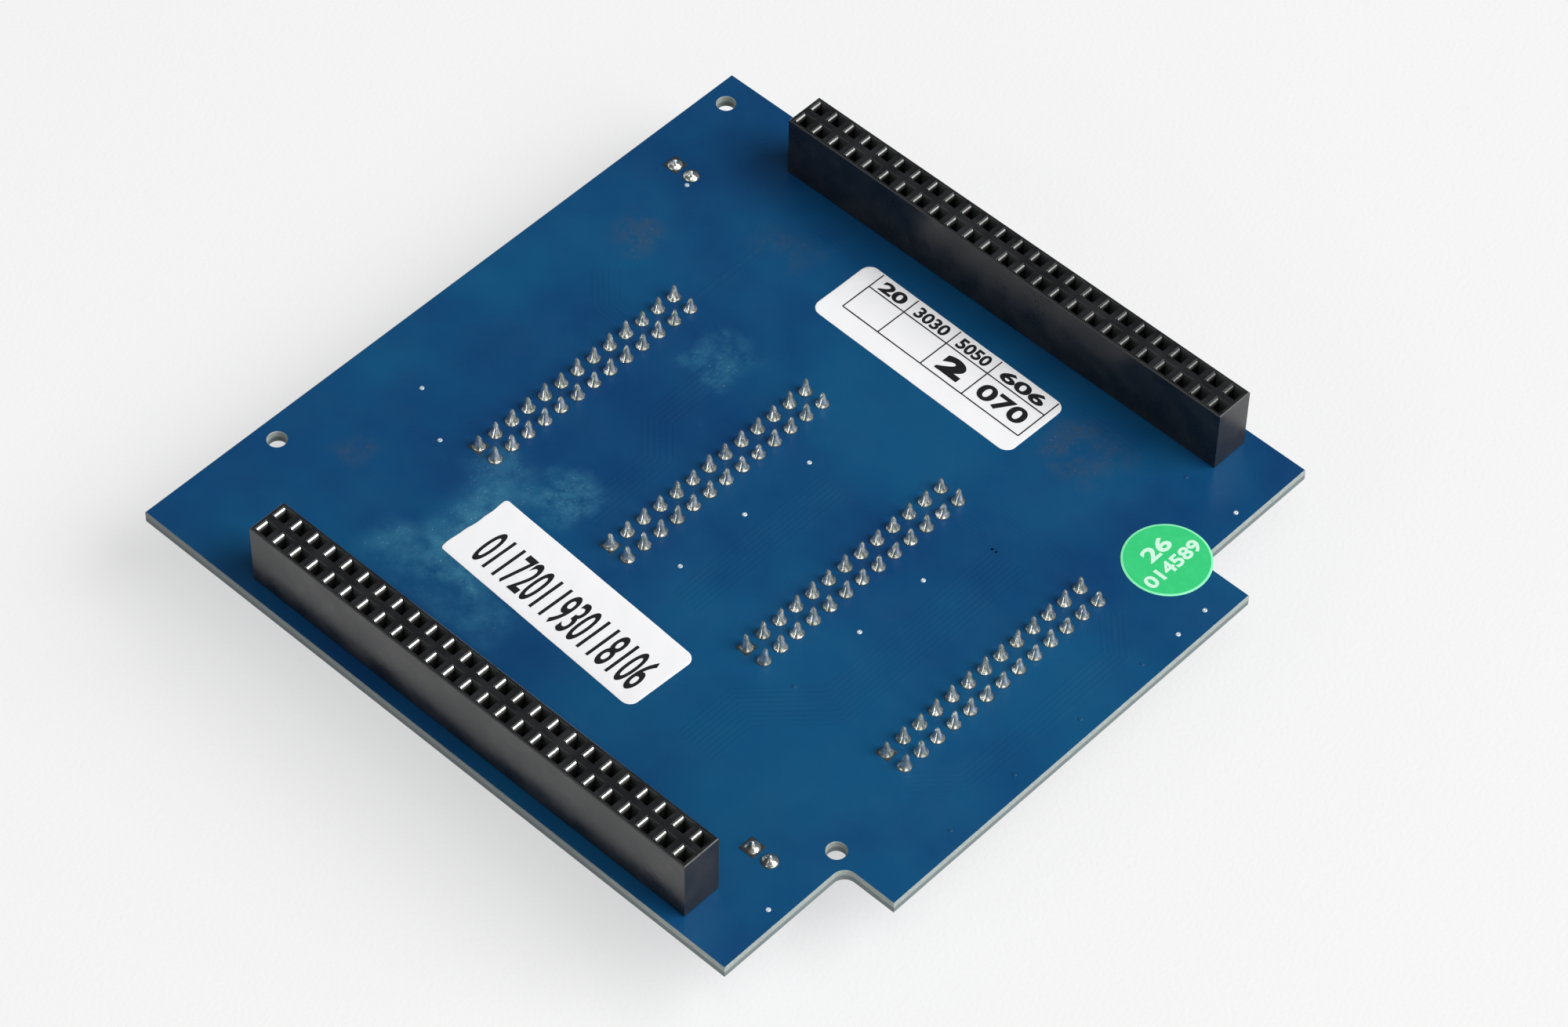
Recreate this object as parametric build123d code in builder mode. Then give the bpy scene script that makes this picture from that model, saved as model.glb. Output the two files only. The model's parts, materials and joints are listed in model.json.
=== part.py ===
from build123d import *
import os
from math import atan, degrees

os.makedirs("parts", exist_ok=True)

# A hub board for LED displays, lying on the rims of its four box headers with the solder side up.
# Frame: X runs along the two long sockets, Y along the rows of header pins, Z up.
# The origin is in the middle of the board's outline, on the surface that the rims stand on.

# ---------------------------------------------------------------- driving dimensions, millimetres

# Bare board
board_length = 93.0             # along X, from the left edge to the outer edge of the tab
board_width = 91.4              # along Y
board_thickness = 1.6
tab_reach = 6.9                 # how far the middle tab stands out beyond the two stepped corners
tab_width = 56.0
step_radius = 1.5               # router radius in the inner corner of each step
screw_hole_diameter = 2.2
left_hole_inset = 2.7           # centre of the two left screw holes to the left edge
far_hole_inset = 3.8            # centre of the far left screw hole to the far edge
near_hole_inset = 16.9          # centre of the near left screw hole to the near edge
step_hole_back = 1.85           # centre of the third screw hole to the line of the stepped edge
step_hole_rise = 0.85           # and from the line of the tab's near side

closeness = 0.001               # two places nearer than this are one and the same

# Pins and their grid, shared by the sockets and the headers
pin_spacing = 2.54              # the grid of every pin and contact
rows = 2
pin_side = 0.64
hole_clearance = 0.05           # round every pin and tail, where it goes through the board

# Sockets, 2 rows of 25
socket_columns = 25
socket_height = 8.5
socket_width = 5.0
socket_end_wall = 1.32          # outermost contact centre to the housing's end face
socket_edge_inset = 1.75        # housing's outer face to the board's edge
socket_offset_x = 0.5
cavity_side = 1.7
contact_thickness = 0.4
contact_width = 0.9
contact_foot = 1.2              # height at which the leaf leaves the line of the tail
contact_depth = 0.3             # top of the leaf below the top of the housing
contact_wall_gap = 0.04
tail_length = 3.0               # tail below the housing

# Box headers, 13 rows of 2
header_count = 4
header_columns = 13
header_spacing = 20.066
header_inset_x = 5.44           # middle of the last header to the stepped edge
header_offset_y = 0.95
header_width = 8.9
header_height = 9.1
header_end = 5.08               # outermost pin centre to the shroud's end face
header_wall = 1.2
header_floor = 2.6
rim_chamfer = 0.35
key_width = 4.5
key_sill = 0.6                  # how much wall is left under the key slot, above the floor
pin_tip_inset = 0.6             # tip of the pin inside the rim of the shroud
joint_base = 1.5                # solder joint at the board
joint_height = 1.5

# Bulk capacitors, one by the end of each socket
can_diameter = 6.3
can_height = 7.0
can_shoulder = 0.5
lead_spacing = 2.5
lead_side = 0.5
lead_joint_base = 1.7
lead_joint_height = 0.8
far_can_inset_x = 6.5           # middle of the can to the left edge
far_can_inset_y = 14.85         # and to the far edge
near_can_inset_x = 7.1          # middle of the can to the stepped edge
near_can_inset_y = 12.85        # and to the near edge

# Buffer chips and their bypass capacitors, between and beside the headers
chip_body_x = 4.4
chip_body_y = 6.5
chip_height = 1.0
chip_draft = 10.0
chip_standoff = 0.1
chip_spacing = 10.1
chips_per_column = (3, 3, 4)
chip_column_shift = (3.0, -0.5, 2.0)    # middle of each column to the middle of the headers
outer_column_gap = 3.65         # shroud of the last header to the middle of the last column
bypass_length = 1.6
bypass_width = 0.8
bypass_height = 0.8

# Labels on the solder side
label_thickness = 0.1
label_corner_radius = 1.2
table_label_length = 29.3
table_label_width = 9.2
table_label_gap = 4.45          # its upper edge to the inner face of the far socket
table_label_x = 0.0
table_label_turn = -1.4
strip_label_length = 29.8
strip_label_width = 9.6
strip_label_x = -5.1
strip_label_y = -23.1
strip_label_turn = -3.0
sticker_diameter = 10.0
sticker_back = 2.6              # middle of the sticker behind the line of the stepped edge
sticker_drop = 2.4              # and inside the line of the tab's far side

# ---------------------------------------------------------------- values worked out from them

half_length = board_length / 2
half_width = board_width / 2
step_x = half_length - tab_reach            # the stepped edge
board_bottom = header_height
board_top = board_bottom + board_thickness

socket_length = (socket_columns - 1) * pin_spacing + 2 * socket_end_wall
socket_y = half_width - socket_edge_inset - socket_width / 2
socket_top = board_top + socket_height

header_length = (header_columns - 1) * pin_spacing + 2 * header_end
header_x = [
    step_x - header_inset_x - (header_count - 1 - index) * header_spacing
    for index in range(header_count)
]

screw_holes = [
    (-half_length + left_hole_inset, half_width - far_hole_inset),
    (-half_length + left_hole_inset, -half_width + near_hole_inset),
    (step_x - step_hole_back, -tab_width / 2 + step_hole_rise),
]
can_places = [
    (-half_length + far_can_inset_x, half_width - far_can_inset_y),
    (step_x - near_can_inset_x, -half_width + near_can_inset_y),
]
table_label_place = (
    table_label_x,
    socket_y - socket_width / 2 - table_label_gap - table_label_width / 2,
)
sticker_place = (step_x - sticker_back, tab_width / 2 - sticker_drop)

chip_columns_x = [
    (header_x[1] + header_x[2]) / 2,
    (header_x[2] + header_x[3]) / 2,
    header_x[3] + header_width / 2 + outer_column_gap,
]


def finish(piece, name):
    """Name a finished piece and write it to its own file."""
    piece.part.label = name
    export_step(piece.part, f"parts/{name}.step")


# ---------------------------------------------------------------- board

with BuildPart() as board:
    with BuildSketch(Plane.XY.offset(board_bottom)):
        # Body and tab; the two corners beyond the tab are stepped back.
        with Locations((-half_length, 0)):
            Rectangle(step_x + half_length, board_width, align=(Align.MIN, Align.CENTER))
        Rectangle(half_length, tab_width, align=(Align.MIN, Align.CENTER))
        fillet(
            [
                corner
                for corner in vertices()
                if abs(corner.X - step_x) < closeness and abs(abs(corner.Y) - tab_width / 2) < closeness
            ],
            step_radius,
        )
        with Locations(*screw_holes):
            Circle(screw_hole_diameter / 2, mode=Mode.SUBTRACT)
        # Holes for the header pins, the socket tails and the capacitor leads.
        with Locations(*[(x, header_offset_y) for x in header_x]):
            with GridLocations(pin_spacing, pin_spacing, rows, header_columns):
                Rectangle(
                    pin_side + 2 * hole_clearance, pin_side + 2 * hole_clearance, mode=Mode.SUBTRACT
                )
        with Locations((socket_offset_x, socket_y), (socket_offset_x, -socket_y)):
            with GridLocations(pin_spacing, pin_spacing, socket_columns, rows):
                Rectangle(
                    contact_thickness + 2 * hole_clearance,
                    contact_width + 2 * hole_clearance,
                    mode=Mode.SUBTRACT,
                )
        with Locations(*can_places):
            with GridLocations(lead_spacing, 1, 2, 1):
                Rectangle(
                    lead_side + 2 * hole_clearance, lead_side + 2 * hole_clearance, mode=Mode.SUBTRACT
                )
    extrude(amount=board_thickness)
finish(board, "board")


# ---------------------------------------------------------------- sockets

def make_housing(centre_y):
    """Socket housing: a bar with a square cavity over each contact."""
    with BuildPart() as housing:
        with BuildSketch(Plane.XY.offset(board_top)):
            with Locations((socket_offset_x, centre_y)):
                Rectangle(socket_length, socket_width)
                with GridLocations(pin_spacing, pin_spacing, socket_columns, rows):
                    Rectangle(cavity_side, cavity_side, mode=Mode.SUBTRACT)
        extrude(amount=socket_height)
    return housing


def make_contacts(centre_y):
    """Contacts of one socket: a flat tail through the board and a leaf against the cavity's wall."""
    half = contact_thickness / 2
    leaf_back = contact_wall_gap - cavity_side / 2
    tail_tip = board_top - tail_length
    foot = board_top + contact_foot
    leaf_top = socket_top - contact_depth
    with BuildPart() as contacts:
        for row in range(rows):
            row_y = centre_y + (row - (rows - 1) / 2) * pin_spacing
            with BuildSketch(Plane.XZ.offset(-row_y)):
                with Locations((socket_offset_x, 0)):
                    with GridLocations(pin_spacing, 1, socket_columns, 1):
                        Polygon(
                            (-half, tail_tip),
                            (half, tail_tip),
                            (half, foot),
                            (leaf_back + contact_thickness, leaf_top),
                            (leaf_back, leaf_top),
                            (-half, foot),
                            align=None,
                        )
            extrude(amount=contact_width / 2, both=True)
    return contacts


finish(make_housing(-socket_y), "near_socket_housing")
finish(make_housing(socket_y), "far_socket_housing")
finish(make_contacts(-socket_y), "near_socket_contacts")
finish(make_contacts(socket_y), "far_socket_contacts")


# ---------------------------------------------------------------- box headers

def make_shroud(centre_x):
    """Shroud of a box header, open towards the ground, with its key slot on the pin 1 side."""
    floor_face = board_bottom - header_floor
    inner_width = header_width - 2 * header_wall
    inner_length = header_length - 2 * header_wall
    with BuildPart() as shroud:
        with BuildSketch(Plane.XY):
            with Locations((centre_x, header_offset_y)):
                Rectangle(header_width, header_length)
                Rectangle(inner_width, inner_length, mode=Mode.SUBTRACT)
        extrude(amount=floor_face)
        with BuildSketch(Plane.XY.offset(floor_face)):
            with Locations((centre_x, header_offset_y)):
                Rectangle(header_width, header_length)
                with GridLocations(pin_spacing, pin_spacing, rows, header_columns):
                    Rectangle(pin_side, pin_side, mode=Mode.SUBTRACT)
        extrude(amount=header_floor)
        with BuildSketch(Plane.XY):
            with Locations((centre_x - header_width / 2 + header_wall / 2, header_offset_y)):
                Rectangle(header_wall, key_width)
        extrude(amount=floor_face - key_sill, mode=Mode.SUBTRACT)
        rim = shroud.faces().sort_by(Axis.Z)[0]
        mouth = [
            edge
            for edge in rim.edges()
            if abs(edge.center().X - centre_x) < inner_width / 2 + closeness
            and abs(edge.center().Y - header_offset_y) < inner_length / 2 + closeness
            and edge.length > header_wall + closeness
        ]
        chamfer(mouth, rim_chamfer)
    return shroud


def make_header_pins(centre_x):
    """Pins of one box header, each with its solder joint on top of the board."""
    joint_draft = degrees(atan((joint_base - pin_side) / 2 / joint_height))
    with BuildPart() as pins:
        with BuildSketch(Plane.XY.offset(pin_tip_inset)):
            with Locations((centre_x, header_offset_y)):
                with GridLocations(pin_spacing, pin_spacing, rows, header_columns):
                    Rectangle(pin_side, pin_side)
        extrude(amount=board_top - pin_tip_inset)
        with BuildSketch(Plane.XY.offset(board_top)):
            with Locations((centre_x, header_offset_y)):
                with GridLocations(pin_spacing, pin_spacing, rows, header_columns):
                    Rectangle(joint_base, joint_base)
        extrude(amount=joint_height, taper=joint_draft)
    return pins


for index, centre_x in enumerate(header_x, start=1):
    finish(make_shroud(centre_x), f"header_shroud_{index}")
    finish(make_header_pins(centre_x), f"header_pins_{index}")


# ---------------------------------------------------------------- bulk capacitors

def make_can(place):
    """Aluminium can standing on the underside of the board, with a drawn-in shoulder at its end."""
    with BuildPart() as can:
        with BuildSketch(Plane.XY.offset(board_bottom)):
            with Locations(place):
                Circle(can_diameter / 2)
        extrude(amount=-can_height)
        chamfer(can.edges().sort_by(Axis.Z)[0], can_shoulder)
    return can


def make_can_leads(place):
    """Two trimmed leads of a can, each with a low solder joint on top of the board."""
    joint_draft = degrees(atan((lead_joint_base - lead_side) / 2 / lead_joint_height))
    with BuildPart() as leads:
        with BuildSketch(Plane.XY.offset(board_bottom)):
            with Locations(place):
                with GridLocations(lead_spacing, 1, 2, 1):
                    Rectangle(lead_side, lead_side)
        extrude(amount=board_thickness)
        with BuildSketch(Plane.XY.offset(board_top)):
            with Locations(place):
                with GridLocations(lead_spacing, 1, 2, 1):
                    Rectangle(lead_joint_base, lead_joint_base)
        extrude(amount=lead_joint_height, taper=joint_draft)
    return leads


for side, place in (("far", can_places[0]), ("near", can_places[1])):
    finish(make_can(place), f"{side}_capacitor_can")
    finish(make_can_leads(place), f"{side}_capacitor_leads")


# ---------------------------------------------------------------- buffer chips

def make_chips(places):
    """Bodies of one column of flat chips under the board, tapered away from it."""
    with BuildPart() as chips:
        with BuildSketch(Plane.XY.offset(board_bottom - chip_standoff)):
            with Locations(*places):
                Rectangle(chip_body_x, chip_body_y)
        extrude(amount=-chip_height, taper=chip_draft)
    return chips


def make_bypass_capacitors(places):
    """Small ceramic capacitors of one column, each halfway to the next chip."""
    with BuildPart() as bypass:
        with BuildSketch(Plane.XY.offset(board_bottom)):
            with Locations(*[(x, y - chip_spacing / 2) for x, y in places]):
                Rectangle(bypass_length, bypass_width)
        extrude(amount=-bypass_height)
    return bypass


for index, centre_x in enumerate(chip_columns_x):
    count = chips_per_column[index]
    middle_y = header_offset_y + chip_column_shift[index]
    places = [(centre_x, middle_y + (row - (count - 1) / 2) * chip_spacing) for row in range(count)]
    finish(make_chips(places), f"buffer_chips_{index + 1}")
    finish(make_bypass_capacitors(places), f"bypass_capacitors_{index + 1}")


# ---------------------------------------------------------------- labels

def make_label(place, length, width, turn):
    """Thin paper label with rounded corners, stuck a little askew on the solder side."""
    with BuildPart() as label:
        with BuildSketch(Plane.XY.offset(board_top)):
            with Locations(Location((*place, 0), (0, 0, turn))):
                RectangleRounded(length, width, label_corner_radius)
        extrude(amount=label_thickness)
    return label


finish(
    make_label(table_label_place, table_label_length, table_label_width, table_label_turn),
    "table_label",
)
finish(
    make_label((strip_label_x, strip_label_y), strip_label_length, strip_label_width, strip_label_turn),
    "strip_label",
)

with BuildPart() as sticker:
    with BuildSketch(Plane.XY.offset(board_top)):
        with Locations(sticker_place):
            Circle(sticker_diameter / 2)
    extrude(amount=label_thickness)
finish(sticker, "round_sticker")
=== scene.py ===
# %% [markdown]
# # A hub board for LED displays, dressed in Blender
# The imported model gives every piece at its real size: a stepped circuit board that lies on the
# rims of four box headers, with two long sockets and all the solder joints on the upper side.
# This lesson keeps that frame and works out the finish of every surface around it. Most new
# pieces are numpy grids: a formula gives a whole array of points, and one call puts it in a mesh.

# %% Load the frame
import json
import math
from functools import reduce

import bmesh
import bpy
import numpy as np
from mathutils import Matrix, Vector
from mathutils.geometry import tessellate_polygon


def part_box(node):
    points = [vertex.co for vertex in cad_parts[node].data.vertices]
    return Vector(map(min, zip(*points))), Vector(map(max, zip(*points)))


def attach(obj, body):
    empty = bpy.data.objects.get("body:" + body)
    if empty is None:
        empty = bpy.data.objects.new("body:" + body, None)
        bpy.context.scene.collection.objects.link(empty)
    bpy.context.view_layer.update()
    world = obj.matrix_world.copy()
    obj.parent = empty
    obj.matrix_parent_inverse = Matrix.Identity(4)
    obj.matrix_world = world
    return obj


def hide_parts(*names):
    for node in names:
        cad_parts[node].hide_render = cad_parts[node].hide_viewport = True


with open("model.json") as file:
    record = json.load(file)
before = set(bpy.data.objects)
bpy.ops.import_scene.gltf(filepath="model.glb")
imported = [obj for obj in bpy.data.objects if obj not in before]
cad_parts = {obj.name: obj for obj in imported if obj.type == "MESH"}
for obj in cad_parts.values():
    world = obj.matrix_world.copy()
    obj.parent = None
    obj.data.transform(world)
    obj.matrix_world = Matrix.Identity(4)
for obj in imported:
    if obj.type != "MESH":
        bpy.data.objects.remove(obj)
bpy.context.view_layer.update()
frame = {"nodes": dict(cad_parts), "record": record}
mm = 0.001


def corners(node):
    """Lowest and highest corner of a node's box, as arrays."""
    low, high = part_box(node)
    return np.array(low), np.array(high)


board_low, board_high = corners("board")
board_bottom, board_top = board_low[2], board_high[2]
print("nodes in the frame:", len(frame["nodes"]))

# %% [markdown]
# ## The camera
# A board is seen best from well above, through a long lens and from far off, so that its sides
# stay nearly parallel. The camera is given the way it would be set up in a studio: what it aims
# at, from which bearing and height, from how far, and how much the body leans on its tripod.
# A rotation matrix made of right, up and back vectors is clearer here than three Euler angles.

# %% Camera
lens_mm = 124.45
sensor_mm = 36.0
bearing = math.radians(42.228)          # 0 looks along +Y, a quarter turn along -X
height_angle = math.radians(50.157)
lean = math.radians(1.359)
aim = Vector((3.053 * mm, 1.841 * mm, board_top))
distance = 583.72 * mm

level = math.cos(height_angle)
look = Vector((-math.sin(bearing) * level, math.cos(bearing) * level, -math.sin(height_angle)))
level_right = look.cross(Vector((0, 0, 1))).normalized()
level_up = level_right.cross(look)
right = level_right * math.cos(lean) + level_up * math.sin(lean)
up = right.cross(look)

camera_data = bpy.data.cameras.new("camera")
camera_data.lens = lens_mm
camera_data.sensor_width = sensor_mm
camera = bpy.data.objects.new("camera", camera_data)
turn = Matrix((right, up, -look)).transposed().to_4x4()
camera.matrix_world = Matrix.Translation(aim - look * distance) @ turn
bpy.context.scene.collection.objects.link(camera)
bpy.context.scene.camera = camera
print("camera at", [round(value, 4) for value in camera.matrix_world.translation])

# %% [markdown]
# ## Points and faces
# A mesh is a list of points and a list of corner numbers. Writing either by hand is slow and
# easy to get wrong, so every piece below starts as a grid, whose corner numbers follow from its
# size alone. Groups of faces carry the number of their paint, so one piece can have two finishes.

# %% Surfaces as arrays
class Skin:
    """Points, and groups of (corner numbers, paint number), of one piece being made."""

    def __init__(self, points, groups):
        self.points = np.asarray(points, dtype=float).reshape(-1, 3)
        self.groups = [(np.asarray(faces, dtype=int), paint) for faces, paint in groups]

    def changed(self, scale=1.0, shift=0.0):
        """The same faces on points times scale plus shift."""
        return Skin(self.points * scale + shift, self.groups)


def at_height(places, height):
    """Places in plan, all at one height."""
    return np.column_stack([places[:, :2], np.full(len(places), height)])


def grid_faces(rows, columns, around=False):
    """Quads of a grid numbered row after row: point, right neighbour, the two above them."""
    row, column = np.meshgrid(
        np.arange(rows - 1), np.arange(columns if around else columns - 1), indexing="ij"
    )
    here, above = row * columns, (row + 1) * columns
    beside = (column + 1) % columns
    quads = (here + column, here + beside, above + beside, above + column)
    return np.stack(quads, axis=-1).reshape(-1, 4)


def closed_rings(points, paint=0):
    """Rings of points one above the other: quads between them and a flat face at each end."""
    points = np.asarray(points, dtype=float)
    rows, sides = points.shape[:2]
    number = np.arange(rows * sides).reshape(rows, sides)
    faces = (grid_faces(rows, sides, True), number[-1:], number[:1, ::-1])
    return Skin(points, [(group, paint) for group in faces])


def round_rings(reach, height, angle, paint=0):
    """Closed rings with x = r cos a and y = r sin a, where r is given for every point."""
    x, y = reach * np.cos(angle), reach * np.sin(angle)
    return closed_rings(np.stack([x, y, height[:, None] + 0 * reach], axis=-1), paint)


def turned(profile, sides, paint=0, start=0.0):
    """A profile of (radius, height) turned about Z, with flat ends."""
    radius, height = np.asarray(profile, dtype=float).T
    angle = start + np.arange(sides) * 2 * math.pi / sides
    return round_rings(radius[:, None] + 0 * angle, height, angle, paint)


def squared(profile, paint=0):
    """A profile of (half width, height) turned with four sides, flat along X and Y."""
    return turned([(half * math.sqrt(2), z) for half, z in profile], 4, paint, math.pi / 4)


def joined(*skins):
    """One skin from several: points stacked, corner numbers raised by the points before them."""
    start = np.cumsum([0] + [len(skin.points) for skin in skins[:-1]])
    groups = [
        (faces + first, paint) for skin, first in zip(skins, start) for faces, paint in skin.groups
    ]
    return Skin(np.concatenate([skin.points for skin in skins]), groups)


def repeated(skin, places, stretch=None, lean=None):
    """One copy of a skin at each place: point times stretch, plus height times lean, plus place."""
    places = np.asarray(places, dtype=float)
    points = np.repeat(skin.points[None], len(places), axis=0)
    if stretch is not None:
        points = points * stretch[:, None, :]
    if lean is not None:
        points[:, :, :2] += points[:, :, 2:] * lean[:, None, :]
    points = points + places[:, None, :]
    first = np.arange(len(places))[:, None, None] * len(skin.points)
    groups = [
        ((faces[None] + first).reshape(-1, faces.shape[1]), paint) for faces, paint in skin.groups
    ]
    return Skin(points, groups)


def hung_below(skin):
    """The skin mirrored in Z about the board's underside, with its faces turned back outwards."""
    faces = [(group[:, ::-1], paint) for group, paint in skin.groups]
    return Skin(skin.points * (1, 1, -1) + (0, 0, board_bottom), faces)


print("a grid of 3 by 4 points has", len(grid_faces(3, 4)), "quads")

# %% [markdown]
# ## From arrays to a piece
# Blender takes a mesh fastest as flat arrays, through foreach_set. Shading is smooth, apart from
# edges sharper than an angle, which keeps moulded corners crisp and turned solder round. Every
# piece rides on the one body that the board has, and names the finish that it takes. Points that
# lie closer together than the weld distance become one, which closes a shell made of several parts.

# %% Make a piece
def make_piece(name, skin, materials, sharp=35.0, weld=0.0):
    """A mesh object from a skin, riding on the board's body."""
    mesh = bpy.data.meshes.new(name)
    groups = [(faces, paint) for faces, paint in skin.groups if len(faces)]
    sizes = np.concatenate([np.full(len(faces), faces.shape[1]) for faces, _ in groups])
    corner_numbers = np.concatenate([faces.ravel() for faces, _ in groups])
    mesh.vertices.add(len(skin.points))
    mesh.vertices.foreach_set("co", skin.points.ravel())
    mesh.loops.add(len(corner_numbers))
    mesh.loops.foreach_set("vertex_index", corner_numbers)
    mesh.polygons.add(len(sizes))
    mesh.polygons.foreach_set("loop_start", np.concatenate([[0], np.cumsum(sizes)[:-1]]))
    paints = np.concatenate([np.full(len(faces), paint) for faces, paint in groups])
    mesh.polygons.foreach_set("material_index", paints)
    mesh.update(calc_edges=True)
    mesh.validate()
    if weld:
        shell = bmesh.new()
        shell.from_mesh(mesh)
        bmesh.ops.remove_doubles(shell, verts=shell.verts, dist=weld)
        shell.to_mesh(mesh)
        shell.free()
    for material in materials:
        mesh.materials.append(material)
    mesh.shade_smooth()
    mesh.set_sharp_from_angle(angle=math.radians(sharp))
    piece = bpy.data.objects.new(name, mesh)
    bpy.context.scene.collection.objects.link(piece)
    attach(piece, "root")
    print(f"{name}: {len(mesh.polygons)} faces")
    return piece


# %% [markdown]
# ## Materials as graphs
# A finish is a few numbers and some slow or fine variation of them. The class below starts every
# material with a Principled shader and the piece's own coordinates in metres, so a scale of 400
# makes marks of 2.5 mm. What is the same all over the surface is written on the shader itself.

# %% A finish
class Finish:
    """A Principled material being made; more socket values by name, with _ for a space."""

    def __init__(self, name, colour, roughness, metallic=0.0, **constants):
        self.material = bpy.data.materials.new(name)
        self.material.use_nodes = True
        self.tree = self.material.node_tree
        self.shader = self.tree.nodes["Principled BSDF"]
        self.feed(self.shader.inputs["Base Color"], colour)
        self.feed(self.shader.inputs["Roughness"], roughness)
        self.feed(self.shader.inputs["Metallic"], metallic)
        for socket, value in constants.items():
            self.feed(self.shader.inputs[socket.replace("_", " ")], value)
        self.where = self.add("TexCoord").outputs["Object"]

    def feed(self, socket, value):
        """Links a socket to another one, or sets it to a plain value or a colour."""
        if isinstance(value, bpy.types.NodeSocket):
            self.tree.links.new(value, socket)
        else:
            socket.default_value = (*value, 1.0) if socket.type == "RGBA" else value

    def add(self, kind, inputs=(), **settings):
        """A node of this kind, its settings, and its inputs by name or number."""
        node = self.tree.nodes.new("ShaderNode" + kind)
        for setting, value in settings.items():
            setattr(node, setting, value)
        for key, value in dict(inputs).items():
            self.feed(node.inputs[key], value)
        return node

    def axes(self, where=None):
        """X, Y and Z of a place, the point on the piece if none is given."""
        return self.add("SeparateXYZ", {0: where or self.where}).outputs

    def moved(self, operation, first, second, socket=1):
        """A place worked out from two others, or from one and a number."""
        return self.add("VectorMath", {0: first, socket: second}, operation=operation).outputs[0]

    def noise(self, scale, detail=2.0, roughness=0.5, where=None):
        """Cloudy values between 0 and 1, about 1/scale metres across."""
        inputs = {"Scale": scale, "Detail": detail, "Roughness": roughness}
        return self.add("TexNoise", {"Vector": where or self.where, **inputs}).outputs["Fac"]

    def worked(self, operation, first, second=0.0):
        """One sum: first operation second."""
        return self.add("Math", {0: first, 1: second}, operation=operation).outputs[0]

    def times(self, first, second):
        """First times second."""
        return self.worked("MULTIPLY", first, second)

    def plus(self, first, second):
        """First plus second."""
        return self.worked("ADD", first, second)

    def band(self, value, low, high, to_low=0.0, to_high=1.0):
        """Value brought from low..high to to_low..to_high, eased and held at both ends."""
        inputs = {"Value": value, "From Min": low, "From Max": high}
        inputs.update({"To Min": to_low, "To Max": to_high})
        return self.add("MapRange", inputs, interpolation_type="SMOOTHSTEP").outputs["Result"]

    def blended(self, share, first, second):
        """Colour first where share is 0 and second where it is 1."""
        return self.add("Mix", {"Factor": share, 6: first, 7: second}, data_type="RGBA").outputs[2]

    def done(self, colour, roughness, height, depth):
        """The material with its colour, its roughness, and height 0 to 1 as depth metres of bump."""
        bump = self.add("Bump", {"Height": height, "Distance": depth, "Strength": 1.0})
        self.feed(self.shader.inputs["Base Color"], colour)
        self.feed(self.shader.inputs["Roughness"], roughness)
        self.feed(self.shader.inputs["Normal"], bump.outputs["Normal"])
        return self.material


# %% [markdown]
# ## Where things stand
# Everything that repeats on this board stands on the same 2.54 mm grid. The places of the pins
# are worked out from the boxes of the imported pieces, so nothing here has to be fitted by eye.

# %% Places on the grid
pin_spacing = 2.54 * mm
pin_rows = 2


def centred(count, spacing):
    """Evenly spaced places about 0: spacing (k - (n - 1) / 2)."""
    return (np.arange(count) - (count - 1) / 2) * spacing


def grid_places(centre, columns, rows, height):
    """Centres of a grid of columns by rows about (x, y), at one height."""
    x = centre[0] + centred(columns, pin_spacing)
    y = centre[1] + centred(rows, pin_spacing)
    grid = np.stack(np.meshgrid(x, y, indexing="xy"), axis=-1).reshape(-1, 2)
    return at_height(grid, height)


def middle(node):
    """Centre of a node's box in plan."""
    low, high = corners(node)
    return (low[:2] + high[:2]) / 2


header_columns = 13
header_places = [
    grid_places(middle(f"header_pins_{number}"), pin_rows, header_columns, board_top)
    for number in range(1, 5)
]
header_pins = np.concatenate(header_places)
socket_columns = 25
socket_names = ("near_socket", "far_socket")
socket_places = {
    name: grid_places(middle(f"{name}_housing"), socket_columns, pin_rows, board_top)
    for name in socket_names
}
contact_low, contact_high = corners("near_socket_contacts")
print("pins in four headers:", len(header_pins))
print("contacts per socket:", len(socket_places["near_socket"]))

# %% [markdown]
# ## Solder mask
# The blue lacquer over the copper is thin, smooth and a little cloudy: it is darker where it lies
# thick, greener near the soldered rows, where flux has dried on it, and it shows the weave of the
# glass cloth as a very shallow relief. Boxes with soft sides place the stains and two paler veils,
# which are partly flux haze and partly painted sheen, and noise breaks them up, so that no edge of a
# box can be seen.

# %% Stains on the mask
def soft_box(finish, where, low, high, edge):
    """1 inside a rectangle in plan and 0 outside, eased over the width of edge."""
    axes = finish.axes(where)
    sides = []
    for axis in (0, 1):
        sides.append(finish.band(axes[axis], low[axis] - edge, low[axis] + edge))
        sides.append(finish.band(axes[axis], high[axis] - edge, high[axis] + edge, 1.0, 0.0))
    return reduce(finish.times, sides)


# lowest and highest corner in plan, millimetres, and how strong the haze is
flux_stains = [
    ((-21.0, 10.0), (-13.5, 16.0), 0.50),
    ((-26.0, -17.5), (-21.0, -12.5), 0.45),
    ((-18.5, -16.2), (-12.5, -9.5), 0.80),
    ((-22.3, -28.0), (-19.0, -16.4), 1.0),
    ((-26.0, -31.2), (-20.5, -27.6), 0.65),
    ((-20.5, -30.0), (-11.5, -27.0), 1.0),
]
# Two broad paler patches: partly flux haze, partly painted sheen where the mask would catch light.
haze_and_painted_sheen = [
    ((-27.0, -33.6), (-7.0, -28.0), 0.34),
    ((-24.0, -27.0), (-18.0, -12.0), 0.25),
]
smudges = [
    ((16.5, 27.0), (25.0, 34.5), 0.35),
    ((-39.5, 17.5), (-34.5, 22.5), 0.40),
    ((-27.0, 28.0), (-19.5, 32.0), 0.30),
    ((-38.5, -25.5), (-34.8, -21.8), 0.40),
]
stain_edge = 1.6 * mm


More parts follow.
